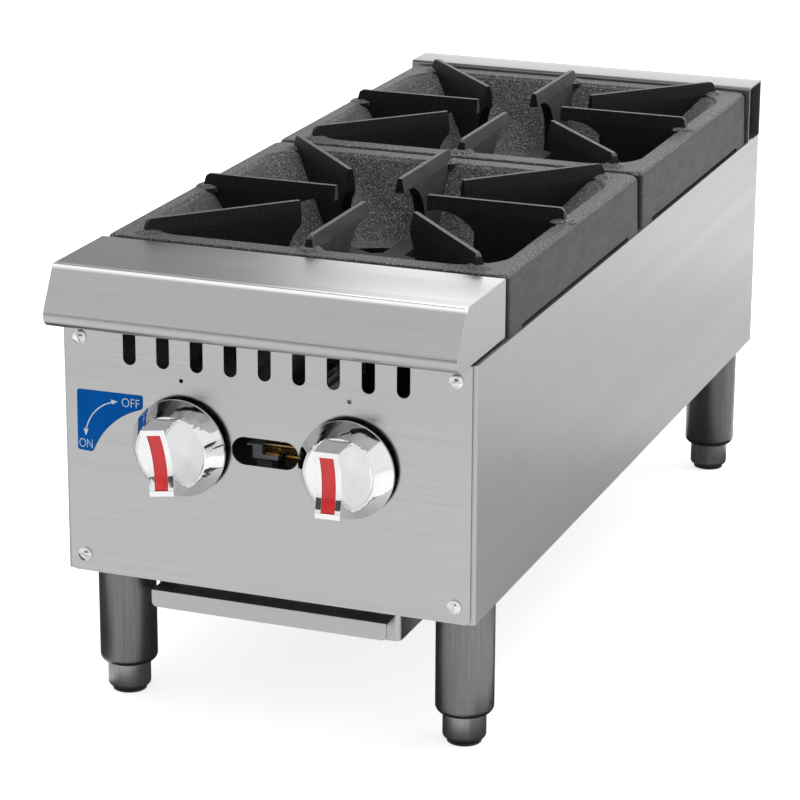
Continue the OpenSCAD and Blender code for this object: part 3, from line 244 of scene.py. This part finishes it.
def vary_roughness(tree, shader, value, low, high):
    """Lets a pattern move the shader's roughness between low and high."""
    varied = spread(tree, value, NOISE_LOW, NOISE_HIGH, low, high)
    tree.links.new(varied, shader.inputs["Roughness"])


def facing(tree, axis, start, end, low, high):
    """Goes from low to high as the surface turns to face along one of the piece's axes, X either way."""
    place = tree.nodes.new("ShaderNodeTexCoord")
    axes = tree.nodes.new("ShaderNodeSeparateXYZ")
    tree.links.new(place.outputs["Normal"], axes.inputs["Vector"])
    turned = axes.outputs[axis]
    if axis == "X":
        turned = mathematics(tree, "ABSOLUTE", turned)
    return spread(tree, turned, start, end, low, high)


def relief(tree, shader, value, depth):
    """Raises the surface by a pattern; depth is in metres."""
    bump = tree.nodes.new("ShaderNodeBump")
    bump.inputs["Distance"].default_value = depth
    tree.links.new(value, bump.inputs["Height"])
    tree.links.new(bump.outputs["Normal"], shader.inputs["Normal"])


def brushed_steel(name, tone, roughness, axis="X", fine=900.0, broad=70.0, contrast=0.05):
    """Rolled sheet with long fine scratches along one axis and wider soft streaks among them."""
    material, tree, shader = new_finish(name, roughness, metallic=1.0)
    scratches = pattern(tree, grained(axis, SCRATCHES_ALONG, fine), detail=4.0, roughness=0.6)
    streaks = pattern(tree, grained(axis, STREAKS_ALONG, broad), detail=2.0)
    shade(tree, shader, scratches, tone, low=1.0 - contrast, high=1.0 + contrast)
    vary_roughness(tree, shader, streaks, low=roughness - 0.04, high=roughness + 0.04)
    relief(tree, shader, scratches, SCRATCH_DEPTH)
    return material


def paint_fold_highlight(material, fold, near, far, gain):
    """Paints a highlight on a sheet beside a fold along X: paler by the gain up to near it, fading out
    at far.
    """
    tree = material.node_tree
    colour_in = tree.nodes["Principled BSDF"].inputs["Base Color"]
    place = tree.nodes.new("ShaderNodeTexCoord").outputs["Object"]
    sideways = (0.0, 1.0, 1.0)
    offset = operation(tree, "ShaderNodeVectorMath", "SUBTRACT", place, fold).outputs["Vector"]
    across = operation(tree, "ShaderNodeVectorMath", "MULTIPLY", offset, sideways).outputs["Vector"]
    distance = operation(tree, "ShaderNodeVectorMath", "LENGTH", across).outputs["Value"]
    highlight_band = spread(tree, distance, near, far, low=gain, high=1.0, curve="SMOOTHSTEP")
    tree.links.new(scaled(tree, colour_in.links[0].from_socket, highlight_band), colour_in)


def galvanised(name, tone):
    """Zinc-dipped sheet with dull flakes."""
    material, tree, shader = new_finish(name, 0.5, metallic=1.0)
    place = tree.nodes.new("ShaderNodeTexCoord")
    flakes = tree.nodes.new("ShaderNodeTexVoronoi")
    flakes.inputs["Scale"].default_value = 190.0
    tree.links.new(place.outputs["Object"], flakes.inputs["Vector"])
    shade(tree, shader, flakes.outputs["Color"], tone, low=0.9, high=1.05, start=0.1, end=0.9)
    vary_roughness(tree, shader, pattern(tree, even(90.0)), low=0.42, high=0.58)
    return material


def cast_iron(name, tone, roughness, grain_size, depth, painted_light_gain):
    """Sand-cast skin, dark and granular and smoother on its sides, with painted light that makes it
    paler where it faces up or out.
    """
    material, tree, shader = new_finish(name, roughness)
    shader.inputs["Specular IOR Level"].default_value = 0.2
    side_start, side_end = 0.75, 0.97
    grains = pattern(tree, even(1.0 / grain_size), detail=4.0, roughness=0.7)
    skin = tones(tree, grains, tone, low=0.2, high=7.0, start=0.38, end=0.70)
    body = skin.color_ramp.elements.new(0.60)
    body.color = (*(c * 1.8 for c in tone), 1.0)
    blotches = pattern(tree, grained("Y", 40.0, 110.0), roughness=0.7)
    smooth = tones(tree, blotches, tone, low=0.9, high=1.9)
    sides = facing(tree, "X", side_start, side_end, low=0.0, high=0.7)
    surface = mixed(tree, sides, skin.outputs["Color"], smooth.outputs["Color"])
    # Painted light: paler where the skin faces up, and by half the gain where it faces either way along
    # X, as if lamps lit those faces
    painted_top_light = facing(tree, "Z", 0.28, 0.56, low=1.0, high=painted_light_gain)
    painted_side_light = facing(tree, "X", side_start, side_end, low=1.0, high=painted_light_gain / 2.0)
    paler = mathematics(tree, "MAXIMUM", painted_top_light, painted_side_light)
    tree.links.new(scaled(tree, surface, paler), shader.inputs["Base Color"])
    vary_roughness(tree, shader, grains, low=roughness - 0.12, high=roughness + 0.16)
    relief(tree, shader, grains, depth)
    return material


def chrome(name, tone, back):
    """Bright plate over a moulding that is not perfectly flat, with painted shade on the back that faces
    the panel.
    """
    material, tree, shader = new_finish(name, 0.06, metallic=1.0)
    swell = pattern(tree, even(70.0), detail=1.0)
    bright = tones(tree, swell, tone, low=0.97, high=1.02)
    # Painted shade: faces turned towards the panel take the dark back colour
    painted_back_shade = facing(tree, "Y", 0.05, 0.25, low=0.0, high=1.0)
    surface = mixed(tree, painted_back_shade, bright.outputs["Color"], (*back, 1.0))
    tree.links.new(surface, shader.inputs["Base Color"])
    vary_roughness(tree, shader, pattern(tree, even(400.0)), low=0.03, high=0.07)
    relief(tree, shader, swell, SWELL_DEPTH)
    return material


def moulded(name, tone, roughness, gloss=0.0, shine=0.5):
    """Paint, plastic or rubber with a faint texture; gloss is a clear coat, shine its own reflection."""
    material, tree, shader = new_finish(name, roughness)
    shader.inputs["Specular IOR Level"].default_value = shine
    shader.inputs["Coat Weight"].default_value = gloss
    shader.inputs["Coat Roughness"].default_value = 0.08
    fine = pattern(tree, even(900.0))
    shade(tree, shader, pattern(tree, even(60.0)), tone, low=0.92, high=1.08)
    vary_roughness(tree, shader, fine, low=roughness - 0.03, high=roughness + 0.05)
    relief(tree, shader, fine, TEXTURE_DEPTH)
    return material


def satin_tube(name, tone, roughness):
    """Ground and tumbled tube: short scratches down its length and faint rings round it."""
    material, tree, shader = new_finish(name, roughness, metallic=1.0)
    scratches = pattern(tree, grained("Z", 16.0, 700.0), detail=4.0, roughness=0.6)
    rings = pattern(tree, grained("Z", 420.0, 9.0), detail=2.0)
    shade(tree, shader, scratches, tone, low=0.86, high=1.14)
    vary_roughness(tree, shader, rings, low=roughness - 0.05, high=roughness + 0.05)
    relief(tree, shader, scratches, SCRATCH_DEPTH)
    return material


def machined(name, tone, roughness):
    """Turned metal with fine tool marks and a little tarnish."""
    material, tree, shader = new_finish(name, roughness, metallic=1.0)
    shade(tree, shader, pattern(tree, even(120.0)), tone, low=0.8, high=1.1)
    marks = pattern(tree, grained("Y", 900.0, 300.0))
    vary_roughness(tree, shader, marks, low=roughness - 0.07, high=roughness + 0.1)
    return material


def smooth_shading():
    """A modifier's node group that shades every face smoothly, for the weighted normals after it."""
    name = "Shade smooth"
    if name in bpy.data.node_groups:
        return bpy.data.node_groups[name]
    group = bpy.data.node_groups.new(name, "GeometryNodeTree")
    group.interface.new_socket("Geometry", in_out="INPUT", socket_type="NodeSocketGeometry")
    group.interface.new_socket("Geometry", in_out="OUTPUT", socket_type="NodeSocketGeometry")
    start = group.nodes.new("NodeGroupInput")
    smooth = group.nodes.new("GeometryNodeSetShadeSmooth")
    end = group.nodes.new("NodeGroupOutput")
    group.links.new(start.outputs["Geometry"], smooth.inputs["Geometry"])
    group.links.new(smooth.outputs["Geometry"], end.inputs["Geometry"])
    return group


def finish_node(name, material):
    """Gives a node of the frame its finish."""
    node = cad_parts[name]
    for slot in node.material_slots:
        slot.link = "OBJECT"
        slot.material = material
    return node


def round_edges(piece, width, segments=2, sharpest=30.0):
    """Breaks a piece's edges that are sharper than an angle in degrees, and shades the rest as it is."""
    merge = piece.modifiers.new("Merge corners", "WELD")
    merge.merge_threshold = MERGE_WITHIN
    flat = piece.modifiers.new("Join flat faces", "DECIMATE")
    flat.decimate_type = "DISSOLVE"
    flat.angle_limit = math.radians(LEVEL_WITHIN)
    edge = piece.modifiers.new("Round edges", "BEVEL")
    edge.width = width
    edge.segments = segments
    edge.limit_method = "ANGLE"
    edge.angle_limit = math.radians(sharpest)
    edge.miter_outer = "MITER_ARC"
    smooth = piece.modifiers.new("Shade smooth", "NODES")
    smooth.node_group = smooth_shading()
    piece.modifiers.new("Even shading", "WEIGHTED_NORMAL")


def link_mesh(name, shape, materials):
    """Turns a finished bmesh into an object of the scene."""
    mesh = bpy.data.meshes.new(name)
    shape.to_mesh(mesh)
    shape.free()
    for material in materials:
        mesh.materials.append(material)
    piece = bpy.data.objects.new(name, mesh)
    bpy.context.scene.collection.objects.link(piece)
    return piece


def new_piece(name, shape, materials, body):
    """Turns a finished bmesh, already in its place, into a piece that rides on a body."""
    bmesh.ops.recalc_face_normals(shape, faces=shape.faces)
    shape.faces.sort(key=lambda face: face.calc_center_median().dot(FACE_ORDER))
    piece = link_mesh(name, shape, materials)
    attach(piece, body)


def raise_front(shape, height):
    """Gives a flat drawing a thickness, towards the front."""
    front = bmesh.ops.extrude_face_region(shape, geom=shape.faces[:])
    moved = [item for item in front["geom"] if isinstance(item, bmesh.types.BMVert)]
    bmesh.ops.translate(shape, verts=moved, vec=(0.0, -height, 0.0))


class HotplateOperator:
    """What every operator here needs."""

    bl_options = {"REGISTER", "UNDO"}

    @property
    def sizes(self):
        return bpy.context.scene.hotplate_sizes

    @property
    def colours(self):
        return bpy.context.scene.hotplate_colours


class HOTPLATE_OT_panels(HotplateOperator, Operator):
    """Finish the front, side and back panels"""

    bl_idname = "hotplate.panels"
    bl_label = "Panels"

    def execute(self, context):
        level = brushed_steel("panel_brushed", self.colours.panel_steel, 0.22)
        side = brushed_steel(
            "side_satin", self.colours.side_steel, 0.36, axis="Y", broad=60.0, contrast=0.02
        )
        round_edges(finish_node("front_panel", level), self.sizes.sheet_edge)
        for hand in SIDES:
            finish_node(f"{hand}_side_panel", side)
        finish_node("back_panel", galvanised("back_galvanised", self.colours.inner_steel))
        return {"FINISHED"}


class HOTPLATE_OT_rail_and_riser(HotplateOperator, Operator):
    """Finish the rolled front rail and the back riser"""

    bl_idname = "hotplate.rail_and_riser"
    bl_label = "Rail and riser"

    # How much paler the painted highlight makes the sheet at its fold, and how far down a point still
    # counts as on top, in metres
    fold_highlight_gain = 2.3
    top_depth = 0.0001

    def execute(self, context):
        sizes = self.sizes
        steel = brushed_steel("rail_brushed", self.colours.panel_steel, 0.30)
        rail = finish_node("front_rail", steel)
        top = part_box("front_rail")[1].z
        on_top = [point.co.y for point in rail.data.vertices if point.co.z > top - self.top_depth]
        # Painted highlight: the sheet is painted paler along the rail's top fold
        paint_fold_highlight(steel, (0.0, min(on_top), top), sizes.rail_highlight_near, sizes.rail_highlight_far, self.fold_highlight_gain)
        round_edges(rail, sizes.rail_edge, segments=3)
        finish_node("back_riser", brushed_steel("riser_brushed", self.colours.riser_steel, 0.34))
        return {"FINISHED"}


class HOTPLATE_OT_inside(HotplateOperator, Operator):
    """Finish the sheet work inside the body"""

    bl_idname = "hotplate.inside"
    bl_label = "Inside sheet work"

    def execute(self, context):
        zinc = galvanised("inside_galvanised", self.colours.inner_steel)
        for name in ("base_pan", "leg_plates", "manifold_stands"):
            finish_node(name, zinc)
        for end in ENDS:
            finish_node(f"{end}_burner_bracket", zinc)
        for hand in SIDES:
            finish_node(f"{hand}_tray_runner", zinc)
        finish_node("pilot_bracket", moulded("bracket_enamel", self.colours.bracket, 0.35))
        return {"FINISHED"}


class HOTPLATE_OT_drip_tray(HotplateOperator, Operator):
    """Finish the drip tray and its handle"""

    bl_idname = "hotplate.drip_tray"
    bl_label = "Drip tray"

    def execute(self, context):
        steel = brushed_steel(
            "tray_brushed", self.colours.panel_steel, 0.34, fine=700.0, broad=60.0, contrast=0.07
        )
        round_edges(finish_node("drip_tray", steel), self.sizes.sheet_edge)
        return {"FINISHED"}


class HOTPLATE_OT_grates(HotplateOperator, Operator):
    """Finish the two cast grates"""

    bl_idname = "hotplate.grates"
    bl_label = "Grates"

    def execute(self, context):
        # The grates' iron carries strong painted light on the faces that look up or sideways
        iron = cast_iron(
            "grate_cast", self.colours.iron, 0.42, grain_size=0.0014, depth=0.0012, painted_light_gain=25.0
        )
        for end in ENDS:
            round_edges(finish_node(f"{end}_grate", iron), self.sizes.casting_edge, segments=3)
        return {"FINISHED"}


class HOTPLATE_OT_burners(HotplateOperator, Operator):
    """Finish the burner heads, castings and air shutters"""

    bl_idname = "hotplate.burners"
    bl_label = "Burners"

    def execute(self, context):
        # The burners' iron carries faint painted light on the faces that look up or sideways
        iron = cast_iron(
            "burner_cast", self.colours.burner_iron, 0.5, grain_size=0.0009, depth=0.0003, painted_light_gain=2.5
        )
        disc = machined("shutter_zinc", self.colours.shutter_zinc, 0.35)
        for end in ENDS:
            finish_node(f"{end}_burner_head", iron)
            finish_node(f"{end}_burner_casting", iron)
            finish_node(f"{end}_air_shutter", disc)
        return {"FINISHED"}


class HOTPLATE_OT_gas_train(HotplateOperator, Operator):
    """Finish the pipes, valves, orifices and pilots"""

    bl_idname = "hotplate.gas_train"
    bl_label = "Gas train"

    def execute(self, context):
        pipe = moulded("pipe_paint", self.colours.pipe, 0.45)
        brass = machined("brass_turned", self.colours.brass, 0.28)
        tube = machined("tube_drawn", self.colours.tube, 0.25)
        for name in ("manifold_pipe", "supply_pipe", "gas_inlet"):
            finish_node(name, pipe)
        for hand in SIDES:
            finish_node(f"{hand}_valve", brass)
            finish_node(f"{hand}_orifice", brass)
            finish_node(f"{hand}_valve_stem", tube)
        finish_node("pilot_valves", brass)
        for end in ENDS:
            finish_node(f"{end}_pilot_tube", tube)
            finish_node(f"{end}_pilot_burner", tube)
        return {"FINISHED"}


class HOTPLATE_OT_knobs(HotplateOperator, Operator):
    """Finish the knobs and their coloured strips"""

    bl_idname = "hotplate.knobs"
    bl_label = "Knobs"

    def execute(self, context):
        plated = chrome("knob_plated", self.colours.chrome, self.colours.knob_back_shade)
        enamel = moulded("insert_enamel", self.colours.insert, 0.22, gloss=0.3, shine=0.3)
        for hand in SIDES:
            knob = finish_node(f"{hand}_knob", plated)
            round_edges(knob, self.sizes.knob_edge, segments=3, sharpest=25.0)
            round_edges(finish_node(f"{hand}_knob_insert", enamel), self.sizes.insert_edge)
        return {"FINISHED"}


class HOTPLATE_OT_index_plate(HotplateOperator, Operator):
    """Build the index plate with its words and curved arrow"""

    bl_idname = "hotplate.index_plate"
    bl_label = "Index plate"

    # Points of the front view: X, then Z
    top_left = (-0.1415, 0.2410)
    top_right = (-0.0913, 0.2415)
    right_end = (-0.0915, 0.2315)
    cut_centre = (-0.0755, 0.1750)
    cut_angle = 51.6
    low_end = (-0.1312, 0.1962)
    low_left = (-0.1419, 0.1968)
    arrow_centre = (-0.1063, 0.2060)
    arrow_start = (-0.1149, 0.2341)
    arrow_angle = 60.9
    right_head = ((-0.1103, 0.2351), (-0.1157, 0.2362), (-0.1146, 0.2326))
    low_head = ((-0.1355, 0.2075), (-0.1371, 0.2128), (-0.1333, 0.2122))
    words = (
        ("OFF", (-0.1072, 0.2320), (-0.0938, 0.2383)),
        ("ON", (-0.1406, 0.1987), (-0.1305, 0.2051)),
    )
    arc_steps = 24
    letter_half_depth = 0.01
    letter_thinning = -0.012
    letter_merge = 1e-7

    def on_plane(self, place, y):
        """A point of the front view, at a depth."""
        return Vector((place[0], y, place[1]))

    def arc(self, shape, start, centre, degrees):
        """Sweeps points or edges round a centre in the front view."""
        return bmesh.ops.spin(
            shape,
            geom=start,
            cent=centre,
            axis=(0.0, 1.0, 0.0),
            angle=-math.radians(degrees),
            steps=self.arc_steps,
        )

    def plate(self):
        """The plate's outline with its hollow corner, its border and its thickness."""
        back = PANEL_FACE
        shape = bmesh.new()
        above = (self.top_left, self.top_right, self.right_end)
        start = [shape.verts.new(self.on_plane(p, back)) for p in above]
        cut = self.arc(shape, [start[2]], self.on_plane(self.cut_centre, back), self.cut_angle)
        last = next(item for item in cut["geom_last"] if isinstance(item, bmesh.types.BMVert))
        end = [shape.verts.new(self.on_plane(p, back)) for p in (self.low_end, self.low_left)]
        sides = (start[:2], start[1:], (last, end[0]), end, (end[1], start[0]))
        for pair in sides:
            shape.edges.new(pair)
        bmesh.ops.contextual_create(shape, geom=shape.edges[:])
        bmesh.ops.bevel(
            shape,
            geom=[*start, end[1]],
            offset=self.sizes.plate_corner,
            segments=6,
            profile=0.5,
            affect="VERTICES",
            material=-1,
        )
        bmesh.ops.inset_region(shape, faces=shape.faces[:], thickness=self.sizes.plate_border, depth=0.0)
        # The middle stays the first face, and the border's faces come after it
        for face in shape.faces[1:]:
            face.material_index = 1
        raise_front(shape, self.sizes.plate_thickness)
        return shape

    def arrow(self, back):
        """Line and two heads, as thin raised print."""
        shape = bmesh.new()
        centre = self.on_plane(self.arrow_centre, back)
        out = self.on_plane(self.arrow_start, back) - centre
        half = self.sizes.arrow_line / 2
        ends = [shape.verts.new(centre + out.normalized() * (out.length + s * half)) for s in (-1, 1)]
        self.arc(shape, [shape.edges.new(ends)], centre, self.arrow_angle)
        for head in (self.right_head, self.low_head):
            shape.faces.new([shape.verts.new(self.on_plane(p, back)) for p in head])
        raise_front(shape, self.sizes.print_height)
        return shape

    def letters(self, text):
        """A word's mesh, flat on its own plane."""
        curve = bpy.data.curves.new(text, "FONT")
        curve.body = text
        curve.extrude = self.letter_half_depth
        curve.offset = self.letter_thinning
        holder = bpy.data.objects.new(text, curve)
        bpy.context.scene.collection.objects.link(holder)
        bpy.context.view_layer.update()
        evaluated = holder.evaluated_get(bpy.context.evaluated_depsgraph_get())
        drawn = bpy.data.meshes.new_from_object(evaluated)
        bpy.data.objects.remove(holder)
        shape = bmesh.new()
        shape.from_mesh(drawn)
        bpy.data.meshes.remove(drawn)
        return shape

    def word(self, text, low, high, back):
        """A word fitted between two corners of the front view."""
        shape = self.letters(text)
        xs = [v.co.x for v in shape.verts]
        ys = [v.co.y for v in shape.verts]
        widen = (high[0] - low[0]) / (max(xs) - min(xs))
        heighten = (high[1] - low[1]) / (max(ys) - min(ys))
        thin = self.sizes.print_height / (2 * self.letter_half_depth)
        bmesh.ops.translate(shape, verts=shape.verts, vec=(-min(xs), -min(ys), self.letter_half_depth))
        bmesh.ops.scale(shape, verts=shape.verts, vec=(widen, heighten, thin))
        stand = Matrix.Translation(self.on_plane(low, back)) @ Matrix.Rotation(math.pi / 2, 4, "X")
        bmesh.ops.transform(shape, matrix=stand, verts=shape.verts)
        bmesh.ops.remove_doubles(shape, verts=shape.verts, dist=self.letter_merge)
        return shape

    def execute(self, context):
        blue = moulded("plate_enamel", self.colours.plate, 0.35, shine=0.03)
        white = moulded("plate_print", self.colours.print, 0.5)
        new_piece("index_plate", self.plate(), [blue, white], "cabinet")
        face = PANEL_FACE - self.sizes.plate_thickness
        new_piece("index_arrow", self.arrow(face), [white], "cabinet")
        for text, low, high in self.words:
            new_piece(f"index_word_{text.lower()}", self.word(text, low, high, face), [white], "cabinet")
        return {"FINISHED"}


class HOTPLATE_OT_legs(HotplateOperator, Operator):
    """Finish the legs, feet and pads"""

    bl_idname = "hotplate.legs"
    bl_label = "Legs and feet"

    def execute(self, context):
        leg = satin_tube("leg_satin", self.colours.leg_steel, 0.34)
        foot = satin_tube("foot_satin", self.colours.foot_steel, 0.38)
        rubber = moulded("pad_rubber", self.colours.pad_rubber, 0.6)
        for corner in LEGS:
            finish_node(f"leg_{corner}", leg)
            finish_node(f"foot_{corner}", foot)
            finish_node(f"pad_{corner}", rubber)
        return {"FINISHED"}


class HOTPLATE_OT_fasteners(HotplateOperator, Operator):
    """Finish the screws and nuts"""

    bl_idname = "hotplate.fasteners"
    bl_label = "Screws and nuts"

    def execute(self, context):
        plated = machined("screw_plated", self.colours.screw_plate, 0.16)
        for name in ("panel_screws", "back_screws", "leg_nuts"):
            finish_node(name, plated)
        return {"FINISHED"}


class HOTPLATE_OT_studio(HotplateOperator, Operator):
    """Set the floor, lamps, background and camera"""

    bl_idname = "hotplate.studio"
    bl_label = "Studio"

    # Places in metres, roll in radians, lens and sensor in millimetres
    camera_place = (0.818126, -2.24445, 0.918477)
    camera_target = (0.003169, -0.104421, 0.174358)
    camera_roll = 0.00447
    camera_lens = 143.53
    camera_reach = (0.1, 100.0)
    sensor_width = 36.0

    room_light = 0.55
    floor_radius = 40.0
    floor_tone = (0.86, 0.86, 0.86, 1.0)
    floor_glow = (("Is Camera Ray", 0.72), ("Is Glossy Ray", 0.45))

    # Name, place, target, size and power of each lamp, in metres and watts
    lamps = (
        ("top_light", (0.3, 0.4, 2.2), (0.0, 0.0, 0.2), (1.8, 1.8), 22.0),
        ("right_light", (2.2, 1.2, 1.0), (0.0, 0.0, 0.2), (1.4, 1.4), 10.0),
        ("back_light", (-0.15, 1.75, 0.85), (0.0, 0.1, 0.3), (1.2, 0.6), 2.6),
    )

    # Name, two corners and tone of each card
    flags = (
        ("flag_back_left", (-1.8, 0.66, 0.46), (-0.42, 0.67, 1.3), 0.40),
        ("flag_left", (-1.4, -0.75, 0.25), (-1.39, 0.6, 1.3), 0.05),
        ("flag_top", (-1.39, -0.75, 1.30), (-0.05, 0.65, 1.31), 0.07),
        # Painted shadow: the four cards on the floor stand in for the shaded floor round and under the
        # hotplate, and show only in reflections
        ("floor_shadow_left", (-0.60, -0.42, 0.002), (-0.19, 0.10, 0.003), 0.10),
        ("floor_shadow_under", (-0.15, -0.35, 0.002), (0.21, 0.36, 0.003), 0.04),
        ("floor_shadow_right_near", (0.22, -0.15, 0.002), (0.80, 0.30, 0.003), 0.56),
        ("floor_shadow_right_far", (0.22, 0.30, 0.002), (0.80, 0.90, 0.003), 0.88),
        ("flag_front", (-1.6, -3.2, 0.15), (0.4, -3.19, 0.9), 0.08),
    )

    def background(self):
        """White wherever it is seen or mirrored, and a softer light on the object."""
        world = bpy.data.worlds.new("studio")
        bpy.context.scene.world = world
        world.use_nodes = True
        tree = world.node_tree
        soft = tree.nodes["Background"]
        white = tree.nodes.new("ShaderNodeBackground")
        for light, strength in ((soft, self.room_light), (white, 1.0)):
            light.inputs["Color"].default_value = WHITE
            light.inputs["Strength"].default_value = strength
        rays = tree.nodes.new("ShaderNodeLightPath")
        seen = mathematics(tree, "MAXIMUM", rays.outputs["Is Camera Ray"], rays.outputs["Is Glossy Ray"])
        mirrored = mathematics(tree, "MAXIMUM", seen, rays.outputs["Is Transmission Ray"])
        choice = tree.nodes.new("ShaderNodeMixShader")
        tree.links.new(mirrored, choice.inputs["Fac"])
        tree.links.new(soft.outputs["Background"], choice.inputs[1])
        tree.links.new(white.outputs["Background"], choice.inputs[2])
        tree.links.new(choice.outputs["Shader"], tree.nodes["World Output"].inputs["Surface"])

    def floor(self):
        """Wide pale floor that keeps the shadow and runs out to white."""
        shape = bmesh.new()
        bmesh.ops.create_circle(shape, cap_ends=True, segments=64, radius=self.floor_radius)
        material, tree, shader = new_finish("floor_paper", 0.9)
        shader.inputs["Base Color"].default_value = self.floor_tone
        shader.inputs["Specular IOR Level"].default_value = 0.0
        rays = tree.nodes.new("ShaderNodeLightPath")
        glows = [
            mathematics(tree, "MULTIPLY", rays.outputs[kind], share) for kind, share in self.floor_glow
        ]
        shader.inputs["Emission Color"].default_value = WHITE
        tree.links.new(mathematics(tree, "MAXIMUM", *glows), shader.inputs["Emission Strength"])
        floor = link_mesh("floor", shape, [material])

    def flag(self, name, low, high, tone):
        """A card of one tone, flat between two corners, that shows only in what is polished."""
        shape = bmesh.new()
        bmesh.ops.create_cube(shape, size=1.0)
        span = Vector(high) - Vector(low)
        middle = (Vector(high) + Vector(low)) / 2
        bmesh.ops.scale(shape, verts=shape.verts, vec=span)
        bmesh.ops.translate(shape, verts=shape.verts, vec=middle)
        material, tree, shader = new_finish(name, 1.0)
        shader.inputs["Base Color"].default_value = BLACK
        shader.inputs["Specular IOR Level"].default_value = 0.0
        shader.inputs["Emission Color"].default_value = (tone, tone, tone, 1.0)
        shader.inputs["Emission Strength"].default_value = 1.0
        card = link_mesh(name, shape, [material])
        card.visible_camera = False
        card.visible_diffuse = False
        card.visible_shadow = False

    def lamp(self, name, place, target, size, power):
        """A soft box that points at a place on the hotplate."""
        light = bpy.data.lights.new(name, "AREA")
        light.shape = "RECTANGLE"
        light.size, light.size_y = size
        light.energy = power
        lamp = bpy.data.objects.new(name, light)
        bpy.context.scene.collection.objects.link(lamp)
        lamp.location = place
        lamp.rotation_euler = (Vector(target) - Vector(place)).to_track_quat("-Z", "Y").to_euler()

    def camera(self):
        """The photograph's viewpoint."""
        data = bpy.data.cameras.new("camera")
        data.lens = self.camera_lens
        data.sensor_width = self.sensor_width
        data.clip_start, data.clip_end = self.camera_reach
        camera = bpy.data.objects.new("camera", data)
        bpy.context.scene.collection.objects.link(camera)
        look = Vector(self.camera_target) - Vector(self.camera_place)
        turn = look.to_track_quat("-Z", "Y").to_matrix() @ Matrix.Rotation(self.camera_roll, 3, "Z")
        camera.matrix_world = Matrix.Translation(self.camera_place) @ turn.to_4x4()
        bpy.context.scene.camera = camera

    def execute(self, context):
        context.scene.view_settings.view_transform = "Standard"
        self.background()
        self.floor()
        for flag in self.flags:
            self.flag(*flag)
        for lamp in self.lamps:
            self.lamp(*lamp)
        self.camera()
        return {"FINISHED"}


class HOTPLATE_PT_sidebar(Panel):
    """Sizes, colours and one button for each group of pieces"""

    bl_idname = "HOTPLATE_PT_sidebar"
    bl_label = "Gas hotplate"
    bl_space_type = "VIEW_3D"
    bl_region_type = "UI"
    bl_category = "Hotplate"

    def draw(self, context):
        for group in (context.scene.hotplate_sizes, context.scene.hotplate_colours):
            column = self.layout.column(align=True)
            for name in group.__annotations__:
                column.prop(group, name)
        for operator in OPERATORS:
            self.layout.operator(operator.bl_idname)


OPERATORS = (
    HOTPLATE_OT_panels,
    HOTPLATE_OT_rail_and_riser,
    HOTPLATE_OT_inside,
    HOTPLATE_OT_drip_tray,
    HOTPLATE_OT_grates,
    HOTPLATE_OT_burners,
    HOTPLATE_OT_gas_train,
    HOTPLATE_OT_knobs,
    HOTPLATE_OT_index_plate,
    HOTPLATE_OT_legs,
    HOTPLATE_OT_fasteners,
    HOTPLATE_OT_studio,
)
CLASSES = (HotplateSizes, HotplateColours, *OPERATORS, HOTPLATE_PT_sidebar)


def register():
    for cls in CLASSES:
        bpy.utils.register_class(cls)
    bpy.types.Scene.hotplate_sizes = PointerProperty(type=HotplateSizes)
    bpy.types.Scene.hotplate_colours = PointerProperty(type=HotplateColours)


def unregister():
    del bpy.types.Scene.hotplate_colours
    del bpy.types.Scene.hotplate_sizes
    for cls in reversed(CLASSES):
        bpy.utils.unregister_class(cls)


def main():
    register()
    bpy.ops.hotplate.panels()
    bpy.ops.hotplate.rail_and_riser()
    bpy.ops.hotplate.inside()
    bpy.ops.hotplate.drip_tray()
    bpy.ops.hotplate.grates()
    bpy.ops.hotplate.burners()
    bpy.ops.hotplate.gas_train()
    bpy.ops.hotplate.knobs()
    bpy.ops.hotplate.index_plate()
    bpy.ops.hotplate.legs()
    bpy.ops.hotplate.fasteners()
    bpy.ops.hotplate.studio()


if __name__ == "__main__":
    main()
